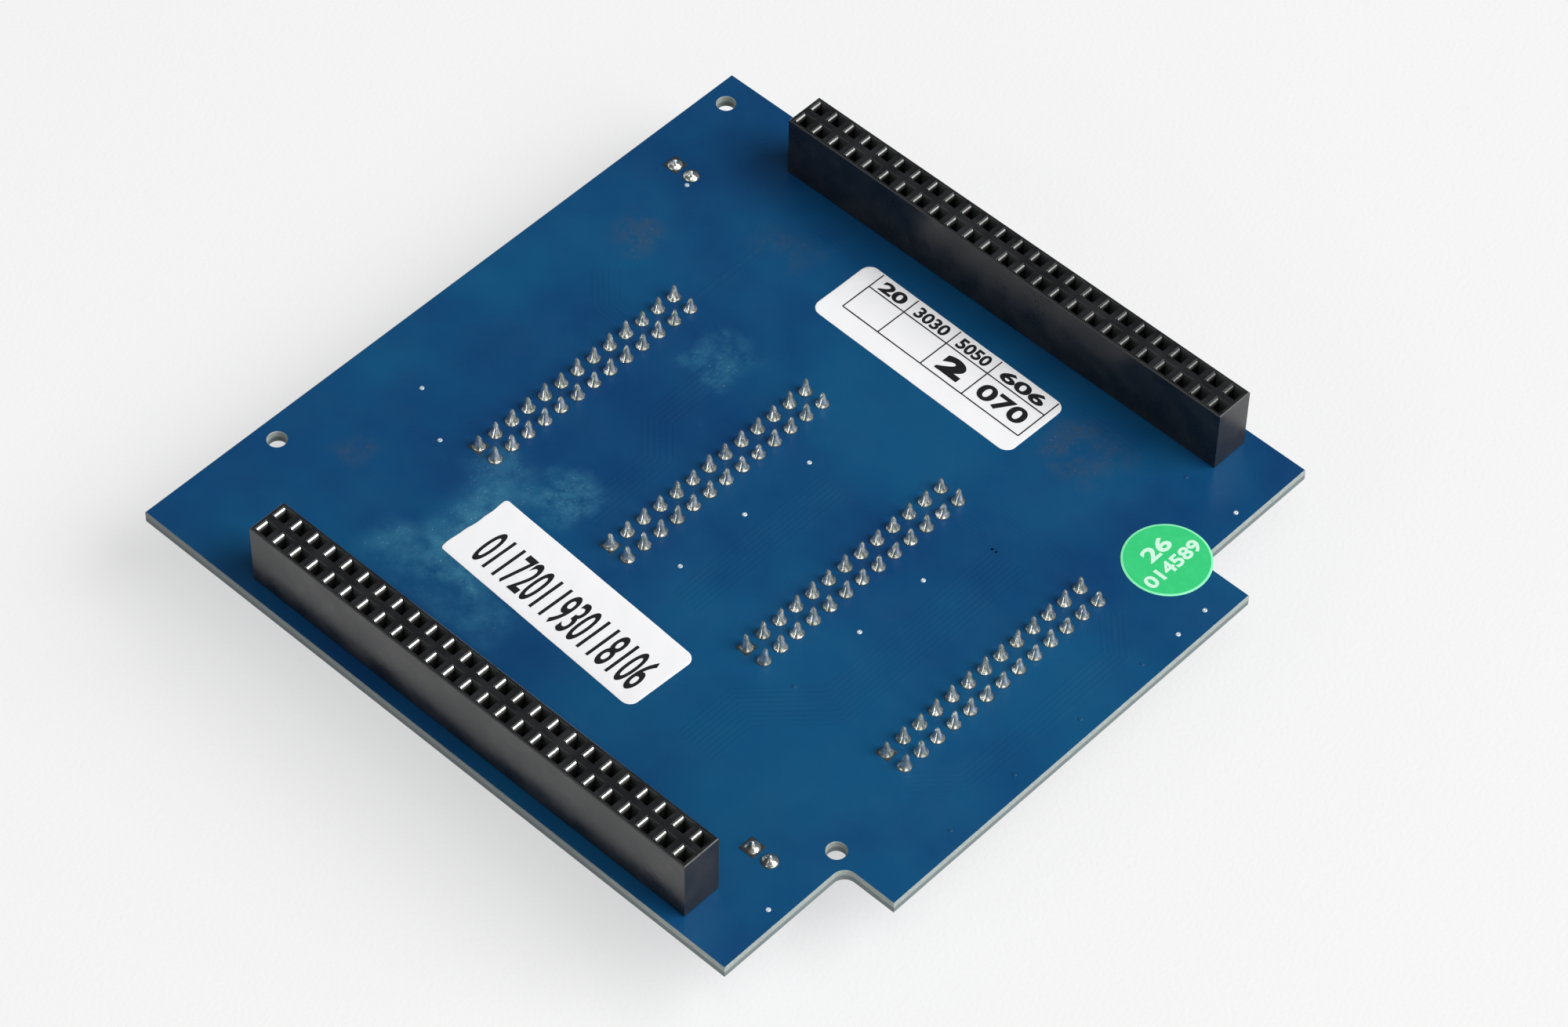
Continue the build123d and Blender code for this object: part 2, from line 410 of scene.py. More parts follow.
def stains_and_sheen_laid(finish, colour, stains, tint, where, scale=420):
    """Tint laid over the colour inside each soft box, broken up by noise of the given scale."""
    broken = finish.band(finish.noise(scale, 4, 0.7), 0.30, 0.70)
    specks = finish.band(finish.noise(4600), 0.67, 0.74)
    pale = tuple(0.4 + 0.4 * value for value in tint)
    for low, high, strength in stains:
        inside = soft_box(finish, where, np.array(low) * mm, np.array(high) * mm, stain_edge)
        share = finish.times(finish.times(inside, broken), strength)
        colour = finish.blended(share, colour, tint)
        colour = finish.blended(finish.times(share, specks), colour, pale)
    return colour


# %% Solder mask material
weave_pitch = 0.48 * mm
stain_wander = 5 * mm


def ragged_place(finish):
    """The place pushed about by coloured noise, so that straight edges become ragged."""
    inputs = {"Vector": finish.where, "Scale": 260.0, "Detail": 3.0}
    warp = finish.add("TexNoise", inputs).outputs["Color"]
    warp = finish.moved("SUBTRACT", warp, (0.5, 0.5, 0.5))
    return finish.moved("ADD", finish.where, finish.moved("SCALE", warp, stain_wander, "Scale"))


def make_mask(name, colour, used=False):
    """Cured solder mask: cloudy colour, fine weave relief, uneven gloss, and stains if used."""
    finish = Finish(name, colour, 0.3, IOR=1.5, Specular_IOR_Level=0.32)
    darker = tuple(np.multiply(colour, (0.90, 0.75, 0.84)))
    paler = tuple(np.multiply(colour, (1.15, 1.34, 1.10)))
    shade = finish.blended(finish.band(finish.noise(45, 3, 0.55), 0.30, 0.70), darker, paler)
    fine = finish.band(finish.noise(900, 3, 0.6), 0.56, 0.78, 0.0, 0.22)
    shade = finish.blended(fine, shade, paler)
    if used:
        ragged = ragged_place(finish)
        shade = stains_and_sheen_laid(finish, shade, haze_and_painted_sheen, (0.045, 0.225, 0.350), finish.where, 130)
        shade = stains_and_sheen_laid(finish, shade, flux_stains, (0.035, 0.165, 0.275), ragged)
        shade = stains_and_sheen_laid(finish, shade, smudges, (0.06, 0.075, 0.09), ragged)
    gloss = finish.band(finish.noise(160, 4, 0.65), 0.30, 0.72, 0.27, 0.42)
    across = 2 * math.pi / weave_pitch
    threads = [finish.worked("SINE", finish.times(axis, across)) for axis in finish.axes()[:2]]
    cloth = finish.times(finish.times(*threads), 0.25)
    grain = finish.times(finish.noise(2400), 1.5)
    return finish.done(shade, gloss, finish.plus(cloth, grain), 0.004 * mm)


mask_blue = (0.0034, 0.059, 0.174)
track_blue = (0.0033, 0.057, 0.168)
solder_mask = make_mask("solder_mask_blue", mask_blue, used=True)
lower_mask = make_mask("solder_mask_below", mask_blue)
track_mask = make_mask("solder_mask_over_tracks", track_blue, used=True)
copper_under_mask = make_mask("solder_mask_over_copper", track_blue)
for material in (solder_mask, lower_mask):
    print(f"{material.name}: {len(material.node_tree.nodes)} nodes")

# %% [markdown]
# ## Bare laminate
# Where the board was routed out of its panel the glass and resin are bare: pale grey-green, with
# layers of cloth running round the edge and a darker, greyer band towards the bottom of the edge.
# Part of the near edge is painted darker still: painted shade, where that edge lies in the board's
# own shadow.

# %% Laminate material
layer_pitch = 0.21 * mm


def make_laminate():
    """Cut edge of glass laminate: layers by height, torn fibres by noise."""
    finish = Finish("cut_laminate", (0.4, 0.45, 0.4), 0.62, IOR=1.5)
    x, y, height = finish.axes()
    layers = finish.worked("SINE", finish.times(height, 2 * math.pi / layer_pitch))
    fibres = finish.moved("MULTIPLY", finish.where, (1.0, 1.0, 5.0))
    torn = finish.noise(1500, 4, 0.7, fibres)
    mixed = finish.plus(finish.times(layers, 0.10), torn)
    shade = finish.blended(
        finish.band(mixed, 0.30, 0.75), (0.24, 0.28, 0.265), (0.43, 0.47, 0.445)
    )
    # A darker, greyer band towards the bottom of the cut edge.
    worn = finish.band(height, board_bottom + 0.70 * mm, board_bottom + 0.95 * mm, 0.85, 0.0)
    shade = finish.blended(worn, shade, (0.115, 0.150, 0.160))
    # Painted shade: the left part of the near edge is darkened where it lies in the board's own
    # shadow.
    painted_shade_near_edge = finish.band(y, board_low[1] + 0.3 * mm, board_low[1] + 0.8 * mm, 0.6, 0.0)
    painted_shade_left_part = finish.band(x, 16 * mm, 34 * mm, 1.0, 0.0)
    shade = finish.blended(finish.times(painted_shade_near_edge, painted_shade_left_part), shade, (0.075, 0.090, 0.100))
    return finish.done(shade, finish.band(torn, 0.3, 0.7, 0.5, 0.75), mixed, 0.012 * mm)


laminate = make_laminate()
print("laminate layers in the board:", round((board_top - board_bottom) / layer_pitch))

# %% [markdown]
# ## The bare board
# The board is a flat plate with an outline of two steps, three screw holes and a fillet left by
# the router in each inner corner. Booleans would do it, but a ring of points at four heights
# makes the edge with its tiny broken corners, and a triangulator fills the two faces, holes
# included. Faces on the cut carry the laminate, the others the mask.

# %% Board outline
step_x = board_high[0] - 6.9 * mm       # the stepped edge, behind the tab's edge
tab_half = 28.0 * mm
router_radius = 1.5 * mm
broken_edge = 0.07 * mm
quarter = math.pi / 2


def circle(centre, radius, sides, start=0.0, sweep=2 * math.pi):
    """Points on an arc: centre + radius (cos a, sin a), without the last one of a full turn."""
    full = sweep == 2 * math.pi
    angle = start + np.linspace(0, sweep, sides, endpoint=not full)
    return centre + radius * np.column_stack([np.cos(angle), np.sin(angle)])


def board_outline():
    """Outline against the clock: three edges, two inner arcs and the tab."""
    arcs = [
        circle((step_x + router_radius, y), router_radius, 9, start, -quarter)
        for y, start in ((-tab_half - router_radius, math.pi), (tab_half + router_radius, -quarter))
    ]
    before = [board_low[:2], (step_x, board_low[1])]
    tab = [(board_high[0], -tab_half), (board_high[0], tab_half)]
    after = [(step_x, board_high[1]), (board_low[0], board_high[1])]
    return np.concatenate([before, arcs[0], tab, arcs[1], after])


def normals_of(route):
    """Unit vectors to the left of each run of a route."""
    ahead = np.diff(route, axis=0)
    ahead /= np.linalg.norm(ahead, axis=1, keepdims=True)
    return np.column_stack([-ahead[:, 1], ahead[:, 0]])


def inset(outline, amount):
    """Outline moved to its left by amount: each corner goes along the mean of its two normals."""
    normal = normals_of(np.concatenate([outline, outline[:1]]))
    mean = normal + np.roll(normal, 1, axis=0)
    return outline + mean * amount * 2 / (mean * mean).sum(axis=1, keepdims=True)


def plate(outlines, low, high, edge):
    """A flat plate: each outline at four heights with its corners broken, and two filled faces."""
    skins, rings, first = [], [], 0
    for outline in outlines:
        smaller = inset(outline, edge)
        levels = ((smaller, low), (outline, low + edge), (outline, high - edge), (smaller, high))
        points = [at_height(level, z) for level, z in levels]
        skins.append(Skin(points, [(grid_faces(4, len(outline), True), 1)]))
        rings.append(first + np.arange(len(outline)))
        first += 4 * len(outline)
    body = joined(*skins)
    triangles = np.array(tessellate_polygon([[Vector(p) for p in body.points[r]] for r in rings]))
    low_face = np.concatenate(rings)[triangles]
    raised = np.concatenate([ring + 3 * len(ring) for ring in rings])[triangles]
    corner = body.points[raised]
    facing = np.cross(corner[:, 1] - corner[:, 0], corner[:, 2] - corner[:, 0])[:, 2:] > 0
    body.groups += [
        (np.where(facing, raised, raised[:, ::-1]), 0),
        (np.where(facing, low_face[:, ::-1], low_face), 2),
    ]
    return body


screw_holes = [mount for mount in frame["record"]["mounts"] if mount["kind"] == "bore"]
hole_outlines = [
    circle(mount["pos_m"][:2], mount["dims"]["r_mm"] * mm, 40)[::-1] for mount in screw_holes
]
bare_board = plate([board_outline(), *hole_outlines], board_bottom, board_top, broken_edge)
board = make_piece(
    "hub_board", bare_board, [solder_mask, laminate, lower_mask], sharp=30
)
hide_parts("board")

# %% [markdown]
# ## Copper tracks
# Under the lacquer each copper track stands up by the thickness of the foil. It is only just seen
# where light grazes the board, so the tracks are real ribbons, a few microns high, swept along
# short routes of straight runs. One route makes a whole bundle, because every track of a bus
# keeps the same distance from the one beside it.

# %% Track bundles
track_width = 0.28 * mm
track_height = 0.008 * mm
track_flank = 0.06 * mm


def beside(route, offset):
    """Route moved sideways: the ends go along their normal, the bends along the mitre."""
    normal = normals_of(route)
    mean = np.concatenate([normal[:1], normal[:-1] + normal[1:], normal[-1:]])
    scale = np.ones(len(route))
    scale[1:-1] = 2 / (mean[1:-1] ** 2).sum(axis=1)
    return route + mean * (scale * offset)[:, None]


def track(route):
    """Four points across (foot, shoulder, shoulder, foot), carried along the route."""
    flank = track_flank * np.array([2, 0, 0, 2])
    across = np.array([0.5, 0.5, -0.5, -0.5]) * (track_width + flank)
    rise = track_height * np.array([-0.3, 1, 1, -0.3])
    lines = [at_height(beside(route, offset), z) for offset, z in zip(across, rise)]
    return closed_rings(np.stack(lines, axis=1))


def bundle(route, count, spacing):
    """Count tracks side by side about one route, all given in millimetres."""
    route = np.array(route) * mm
    return [track(beside(route, offset)) for offset in centred(count, spacing * mm)]


# route, number of tracks, and their spacing
upper_buses = [
    ([(4.1, 8.4), (4.1, -14.4)], 7, 0.62),
    ([(25.0, 14.0), (25.0, -13.5), (18.0, -20.5), (18.0, -27.5)], 9, 0.62),
    ([(16.6, 18.2), (31.0, 18.2)], 4, 0.6),
    ([(17.5, 14.6), (23.2, 14.6)], 4, 0.6),
    ([(-25.2, 28.0), (-25.2, 18.0)], 2, 0.9),
    ([(-16.0, 15.5), (-16.0, 2.0), (-12.0, -2.0), (-12.0, -13.5)], 6, 0.66),
    ([(37.0, -16.0), (41.5, -11.5), (41.5, 12.0), (37.5, 16.0)], 5, 0.62),
    ([(-35.6, 14.0), (-31.8, 10.2), (-29.3, 10.2)], 6, 0.62),
    ([(-24.0, 34.8), (25.0, 34.8)], 3, 0.62),
    ([(-26.0, -35.0), (22.0, -35.0)], 4, 0.62),
]
upper_tracks = joined(*(one for bus in upper_buses for one in bundle(*bus)))
upper_tracks = upper_tracks.changed(shift=(0, 0, board_top))
make_piece("copper_tracks", upper_tracks, [track_mask], sharp=60)

# %% [markdown]
# ## Solder and contact metal
# Hand or wave soldered joints are bright tin-lead or tin: almost a mirror, but wrinkled where they
# froze, with grey patches. The pressed contacts in the sockets are plated, smoother, and brushed
# along their length. Metal takes its look from what it reflects, so the relief matters more than
# the colour. The far socket's contacts are painted darker than the near one's, and both are painted
# darker deep in their cavities: painted shade.

# %% Metals
def make_solder():
    """Solder: bright tin with dull frozen patches and fine wrinkles."""
    finish = Finish("bright_solder", (0.72, 0.72, 0.70), 0.2, metallic=0.90)
    patches = finish.noise(1300, 3, 0.6)
    frozen = finish.band(patches, 0.42, 0.64)
    shade = finish.blended(frozen, (0.54, 0.57, 0.51), (0.97, 0.97, 0.95))
    wrinkle = finish.times(finish.noise(4200, 3, 0.6), 0.3)
    height = finish.plus(finish.times(patches, 1.4), wrinkle)
    return finish.done(shade, finish.band(patches, 0.30, 0.70, 0.25, 0.13), height, 0.007 * mm)


upright = (1.0, 1.0, 0.15)
even = (1.0, 1.0, 1.0)


def make_plated(name, bright, dull, stretch=upright, painted_shade_below=None, metallic=1.0):
    """Plated sheet metal: brushed lines along the pressing, faint tarnish, painted shade low down."""
    finish = Finish(name, bright, 0.2, metallic)
    lines = finish.moved("MULTIPLY", finish.where, stretch)
    brushed = finish.noise(14000, 2, 0.5, lines)
    tarnish = finish.band(finish.noise(700, 3, 0.6), 0.40, 0.68)
    shade = finish.blended(tarnish, bright, dull)
    if painted_shade_below is not None:
        # Painted shade: below the given height the metal fades to a near-black copy of its dull
        # colour, where the cavity hides it from light.
        painted_shade_deep = finish.band(finish.axes()[2], painted_shade_below - 0.5 * mm, painted_shade_below, 1.0, 0.0)
        shade = finish.blended(painted_shade_deep, shade, tuple(value * 0.08 for value in dull))
    rough = finish.band(brushed, 0.2, 0.8, 0.24, 0.29)
    return finish.done(shade, rough, brushed, 0.0001 * mm)


clean_tin = ((0.74, 0.74, 0.73), (0.56, 0.55, 0.52))
# The far socket's contacts take a much darker copy of the tin: painted shade.
shaded_tin = ((0.21, 0.21, 0.205), (0.14, 0.14, 0.135))
# Both sockets' contacts get painted shade deep in their cavities.
in_shade = {"painted_shade_below": contact_high[2] + 0.08 * mm, "metallic": 0.8}
solder = make_solder()
contact_metal = make_plated("tinned_contact", *clean_tin)
spring_metals = {
    "near_socket": make_plated("near_contact_metal", *clean_tin, **in_shade),
    "far_socket": make_plated("far_contact_metal", *shaded_tin, **in_shade),
}
pin_gold = make_plated("plated_pin", (0.86, 0.70, 0.36), (0.62, 0.47, 0.22))
print("metals:", solder.name, contact_metal.name, pin_gold.name)

# %% [markdown]
# ## Rings round the holes
# The mask stops short of every hole, and leaves a tinned ring and a thin dark gap in which the
# bare laminate is seen. Pin 1 of each header and the positive lead of each capacitor have square
# pads. A disc with its edge rounded over is one profile, turned: four sides make a square pad.

# %% Pads
def make_gap_finish():
    """Laminate seen in the mask's opening: dark brown-green resin with dried flux."""
    finish = Finish("mask_opening", (0.035, 0.05, 0.04), 0.35, IOR=1.5)
    flux = finish.noise(2200, 3, 0.6)
    dried = finish.band(flux, 0.35, 0.70)
    shade = finish.blended(dried, (0.010, 0.026, 0.036), (0.035, 0.056, 0.050))
    return finish.done(shade, finish.band(flux, 0.3, 0.7, 0.25, 0.45), flux, 0.02 * mm)


mask_opening = make_gap_finish()
tin = make_plated("tinned_copper", (0.40, 0.41, 0.40), (0.22, 0.23, 0.22), even)
# Painted highlight: the bare tin of the vias is pale and mostly non-metal, so that it shows bright as
# a glint would.
bare_tin_painted_glint = make_plated("bare_rim", (0.72, 0.80, 0.86), (0.50, 0.58, 0.66), even, metallic=0.3)


def pad(radius, gap, sides=20):
    """A tinned pad, 0.04 mm proud, in an opening 0.012 mm proud that is wider by the gap."""
    corner = math.sqrt(2) if sides == 4 else 1.0
    wide = radius + gap
    metal = [(radius, -0.02), (radius, 0.03), (radius - 0.03, 0.04)]
    opening = [(wide, -0.02), (wide, 0.010), (wide - 0.01, 0.012)]
    shapes = [
        turned(np.array(profile) * (corner, 1.0) * mm, sides, paint, math.pi / sides)
        for paint, profile in enumerate((metal, opening))
    ]
    return joined(*shapes)


lead_pair = np.array([(-1.25, 0), (1.25, 0)]) * mm
leads = np.array([middle(f"{side}_capacitor_leads") + lead_pair for side in ("far", "near")])
pad_shapes = (
    (pad(0.77, 0.09), np.concatenate([places[1:] for places in header_places])),
    (pad(0.77, 0.09, 4), np.array([places[0] for places in header_places])),
    (pad(0.92, 0.10, 24), leads[:, 1]),
    (pad(0.92, 0.10, 4), leads[:, 0]),
)
upper_pads = [repeated(shape, at_height(places, board_top)) for shape, places in pad_shapes]
make_piece("upper_pads", joined(*upper_pads), [tin, mask_opening], sharp=40)

# %% [markdown]
# ## Vias
# A via is a plated hole that joins a track on one side to one on the other. The lacquer covers
# its rim, and it shows as a small bright eye where the tin was left bare, or as a dimple where it
# was not. The bare eye is given a pale, bluish colour with little metal in it: bare tin with a
# painted highlight. The ring is again a turned profile, this time with a hollow middle.

# %% Vias
# share of the radius and height in millimetres, from the outer foot over the rim to the middle
via_profile = [
    (1.0, -0.01), (0.97, 0.03), (0.85, 0.06), (0.60, 0.08), (0.30, 0.085), (0.20, 0.06),
    (0.10, 0.04),
]


def via(radius, paint):
    """The via profile turned, with its middle closed at the bottom of the dimple."""
    return turned([(share * radius, z * mm) for share, z in via_profile], 14, paint)


bright_vias = [
    (-37.8, -12.7), (-31.0, -16.6), (0.1, 9.0), (0.1, -1.2), (0.1, -11.2), (20.1, 5.4),
    (20.0, -4.5), (38.05, 35.8), (44.4, 23.15), (44.5, 18.7), (37.8, -37.4), (-38.1, 29.5),
]
dull_vias = [
    (20.0, -14.6), (30.9, 35.9), (44.4, 13.0), (44.5, 3.0), (44.4, -7.2), (44.4, -17.15),
]
via_skin = joined(
    repeated(via(0.29 * mm, 0), at_height(np.array(bright_vias) * mm, board_top)),
    repeated(via(0.26 * mm, 1), at_height(np.array(dull_vias) * mm, board_top)),
)
make_piece("vias", via_skin, [bare_tin_painted_glint, copper_under_mask], sharp=40)

# %% [markdown]
# ## Solder joints
# Solder climbs each pin and leaves a hollow cone, round at its foot and square where it clings to
# the pin. The radius is a curve of the height, and the section changes from a circle to a rounded
# square on the way up. No two joints are alike, so each copy is stretched a little and leans a
# little, with a fixed seed so that the board comes out the same every time.

# %% Joints of the header pins
random = np.random.default_rng(26)


def joint(profile, sides, squareness):
    """Radius r(h) times (|cos a|^p + |sin a|^p)^(-1/p), with p from 2 at the foot to squareness."""
    radius, height = np.asarray(profile, dtype=float).T * mm
    angle = (np.arange(sides) + 0.5) * 2 * math.pi / sides
    climb = (height - height[0]) / (height[-1] - height[0])
    power = (2 + (squareness - 2) * climb)[:, None]
    section = (np.abs(np.cos(angle)) ** power + np.abs(np.sin(angle)) ** power) ** (-1 / power)
    return round_rings(radius[:, None] * section, height, angle)


def uneven(places, share):
    """A stretch near 1 in X, Y and Z for each place, drawn evenly within the share."""
    return 1 + random.uniform(-1, 1, (len(places), 3)) * share


cone_profile = [
    (0.80, -0.02), (0.785, 0.05), (0.71, 0.13), (0.62, 0.26), (0.53, 0.43), (0.45, 0.66),
    (0.37, 0.97), (0.29, 1.32), (0.21, 1.66), (0.10, 1.90),
]
cone_stretch = uneven(header_pins, (0.05, 0.05, 0.09))
leaning = random.normal(0, 0.035, (len(header_pins), 2))
cones = repeated(joint(cone_profile, 12, 4.0), header_pins, cone_stretch, leaning)
make_piece("pin_joints", cones, [solder], sharp=50)

# %% Joints of the capacitor leads
dome_profile = [
    (0.92, -0.02), (0.90, 0.06), (0.74, 0.17), (0.58, 0.28), (0.44, 0.40), (0.32, 0.56),
    (0.22, 0.80), (0.07, 0.95),
]
lead_places = at_height(leads.reshape(-1, 2), board_top)
domes = repeated(joint(dome_profile, 18, 2.0), lead_places, uneven(lead_places, (0.06, 0.06, 0.1)))
lead_joints = make_piece("lead_joints", domes, [solder], sharp=60)
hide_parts("far_capacitor_leads", "near_capacitor_leads")

# %% [markdown]
# ## Moulded plastic
# The sockets and the header shrouds are glass-filled black plastic: nearly black, satin on the
# outside faces, with a fine spark-eroded texture, pale speckle and lighter flow marks. Fillers
# come to the surface, so the finish varies at several scales.

# %% Black plastic
def make_black_plastic(name, colour, low_rough, high_rough, dusty=0.10):
    """Moulded black plastic: speckle, flow marks, dust in a slow pattern, fine mould texture."""
    finish = Finish(name, colour, 0.35, IOR=1.56, Specular_IOR_Level=0.45)
    speckle = finish.noise(5200, 2, 0.6)
    flow = finish.noise(260, 4, 0.6)
    pale = tuple(value * 1.9 + 0.012 for value in colour)
    shade = finish.blended(finish.band(flow, 0.35, 0.72, 0.0, 0.55), colour, pale)
    shade = finish.blended(finish.band(speckle, 0.60, 0.80, 0.0, 0.25), shade, (0.10, 0.10, 0.10))
    dust = finish.band(finish.noise(1500, 5, 0.75), 0.62, 0.82, 0.0, dusty)
    shade = finish.blended(dust, shade, (0.32, 0.31, 0.29))
    grain = finish.plus(speckle, finish.times(finish.noise(1700, 3, 0.6), 0.8))
    rough = finish.band(flow, 0.30, 0.70, low_rough, high_rough)
    return finish.done(shade, rough, grain, 0.010 * mm)


socket_plastic = make_black_plastic("socket_plastic", (0.0080, 0.0085, 0.0095), 0.26, 0.40, 0.05)
# The cavity walls are much paler than the outside: painted light that lifts the shade inside the
# cavities.
cavity_plastic = make_black_plastic("cavity_plastic", (0.055, 0.064, 0.062), 0.50, 0.60, 0.05)
shroud_plastic = make_black_plastic("shroud_plastic", (0.0120, 0.0120, 0.0125), 0.34, 0.50)
print("plastics:", socket_plastic.name, cavity_plastic.name, shroud_plastic.name)

# %% [markdown]
# ## Socket housings
# A housing is a bar with fifty square cavities, each with a chamfered mouth that guides the pin.
# The top is one uneven grid: its lines run along the edges of the mouths, and the quads that fall
# on a mouth are left out. Each cavity is then a square profile turned with four sides, from the
# mouth down to its floor. Welding the points that meet makes one closed shell.

# %% Housing
mouth_half = 0.88 * mm
cavity_half = 0.85 * mm
mouth_depth = 0.05 * mm
cavity_floor = 0.6 * mm
housing_edge = 0.12 * mm
weld = 0.002 * mm


def border_of(grid):
    """The outer ring of a grid, against the clock from its first point."""
    return np.concatenate([grid[0, :-1], grid[:-1, -1], grid[-1, :0:-1], grid[:0:-1, 0]])


def housing(node):
    """Top grid without its mouths, sides with broken edges, floor grid, and the cavities."""
    low, high = corners(node)
    half = (high - low)[:2] / 2
    edges = []
    for count, reach in ((socket_columns, half[0]), (pin_rows, half[1])):
        places = centred(count, pin_spacing)
        mouths = np.sort(np.concatenate([places - mouth_half, places + mouth_half]))
        edges.append(np.concatenate([[-reach + housing_edge], mouths, [reach - housing_edge]]))
    grid = np.stack(np.meshgrid(*edges, indexing="xy"), axis=-1)
    rows, columns = grid.shape[:2]
    odd_row, odd_column = np.arange(rows - 1) % 2 == 1, np.arange(columns - 1) % 2 == 1
    mouth = odd_row[:, None] & odd_column[None]
    quads = grid_faces(rows, columns)
    plan = grid.reshape(-1, 2)
    top = Skin(at_height(plan, high[2]), [(quads[~mouth.ravel()], 0)])
    base = Skin(at_height(plan, low[2]), [(quads[:, ::-1], 0)])
    border = border_of(grid)
    outward = np.sign(border) * np.isclose(np.abs(border), half - housing_edge) * housing_edge
    levels = ((0, low[2]), (1, low[2] + housing_edge), (1, high[2] - housing_edge), (0, high[2]))
    rings = [at_height(border + outward * share, z) for share, z in levels]
    side = Skin(rings, [(grid_faces(4, len(border), True), 0)])
    depth = high[2] - low[2] - cavity_floor
    well = squared([(mouth_half, 0), (cavity_half, -mouth_depth), (cavity_half, -depth)], 1)
    well.groups = well.groups[:2]
    cavities = repeated(well, grid_places((0, 0), socket_columns, pin_rows, high[2]))
    return joined(top, base, side, cavities).changed(shift=(*middle(node), 0))


housing_paints = [socket_plastic, cavity_plastic]
for name in socket_names:
    body = housing(f"{name}_housing")
    piece = make_piece(f"{name}_body", body, housing_paints, sharp=30, weld=weld)
    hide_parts(f"{name}_housing")

# %% [markdown]
# ## Contacts
# Each contact is a strip of sheet metal: a narrow tail through the board, a wider body in the
# cavity, and a spring leaf that leans over to one wall and shows its bright end in the mouth. The
# middle line is a short list of points in X and Z, with a width for each, and the strip is that
# line thickened sideways: two corners on each side of it, at every point.

# %% Contacts of the sockets
def strip(line, widths, thickness):
    """At each point of a line in X and Z: four corners, half a width along Y and half the
    thickness along the line's normal."""
    line = np.asarray(line, dtype=float) * mm
    ahead = np.gradient(line, axis=0)
    ahead /= np.linalg.norm(ahead, axis=1, keepdims=True)
    normal = np.column_stack([ahead[:, 1], -ahead[:, 0]]) * thickness * mm / 2
    reach = np.full(len(line), widths) * mm / 2
    edges = []
    for side, across in ((1, -1), (1, 1), (-1, 1), (-1, -1)):
        offset = line + side * normal
        edges.append(np.column_stack([offset[:, 0], across * reach, offset[:, 1]]))
    return closed_rings(np.stack(edges, axis=1))


tail_end = (contact_low[2] - board_top) / mm
leaf_end = (contact_high[2] - board_top) / mm
# offset from the contact's middle, and height above the board
leaf_line = [
    (0.0, tail_end), (0.0, -1.3), (0.0, 0.3), (0.0, 1.2), (-0.10, 3.2), (-0.34, 5.4),
    (-0.46, 6.9), (-0.57, 7.60), (-0.68, leaf_end + 0.09), (-0.78, leaf_end + 0.185),
]
leaf_widths = [0.35, 0.62, 0.62, 0.95, 1.0, 1.1, 1.30, 1.42, 1.46, 1.44]
leaf = strip(leaf_line, leaf_widths, 0.22)
for name, metal in spring_metals.items():
    springs = repeated(leaf, socket_places[name])
    piece = make_piece(f"{name}_springs", springs, [metal], sharp=24)
    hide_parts(f"{name}_contacts")

# %% [markdown]
# ## Labels
# A label is paper 0.1 mm thick with round corners. It never lies quite flat: over the joints and
# tracks it lifts a little, and its cut edge is soft. The sheet is a grid whose half width shrinks
# towards both ends as a quarter circle does, so the corners are round without a boolean. One end
# of the strip label is torn, which is one wavy offset of the columns near that end.

# %% Paper and ink
def make_paper():
    """Coated label paper: almost white, faint fibres, a slight sheen, grime in places."""
    white = (0.90, 0.90, 0.91)
    finish = Finish("label_paper", white, 0.55, IOR=1.45, Specular_IOR_Level=0.25)
    along = finish.moved("MULTIPLY", finish.where, (1.0, 0.35, 1.0))
    fibres = finish.noise(3800, 3, 0.7, along)
    shadow = tuple(value * 0.88 for value in white)
    shade = finish.blended(finish.band(fibres, 0.55, 0.80, 0.0, 0.35), white, shadow)
    grime = finish.band(finish.noise(230, 4, 0.6), 0.55, 0.85, 0.0, 0.10)
    shade = finish.blended(grime, shade, (0.52, 0.54, 0.56))
    return finish.done(shade, finish.band(fibres, 0.3, 0.7, 0.48, 0.62), fibres, 0.010 * mm)


def make_ink(name, colour, roughness, worn):
    """Printed ink: dense, slightly glossy, thinner where the ribbon skipped."""
    finish = Finish(name, colour, roughness, IOR=1.5, Specular_IOR_Level=0.3)
    skips = finish.noise(5200, 3, 0.7)
    shade = finish.blended(finish.band(skips, 0.58, 0.80, 0.0, 0.5), colour, worn)
    rough = finish.band(skips, 0.3, 0.7, roughness - 0.08, roughness + 0.12)
    return finish.done(shade, rough, skips, 0.004 * mm)


label_paper = make_paper()
black_ink = make_ink("black_ink", (0.012, 0.012, 0.014), 0.42, (0.10, 0.10, 0.11))
print("paper and ink:", label_paper.name, black_ink.name)

# %% Sheets
paper_lift = 0.082
paper_foot = 0.001
edge_drop = 0.03
torn_reach = 2.2


def slab(top, bottom):
    """A closed plate between two grids of the same size: both grids and the four rims between."""
    rows, columns = top.shape[:2]
    number = np.arange(rows * columns).reshape(rows, columns)
    edge = border_of(number)
    after = np.roll(edge, -1)
    rim = np.stack([edge + number.size, after + number.size, after, edge], axis=-1)
    upper = grid_faces(rows, columns)
    points = np.concatenate([top.reshape(-1, 3), bottom.reshape(-1, 3)])
    return Skin(points, [(upper, 0), (upper[:, ::-1] + number.size, 0), (rim, 0)])


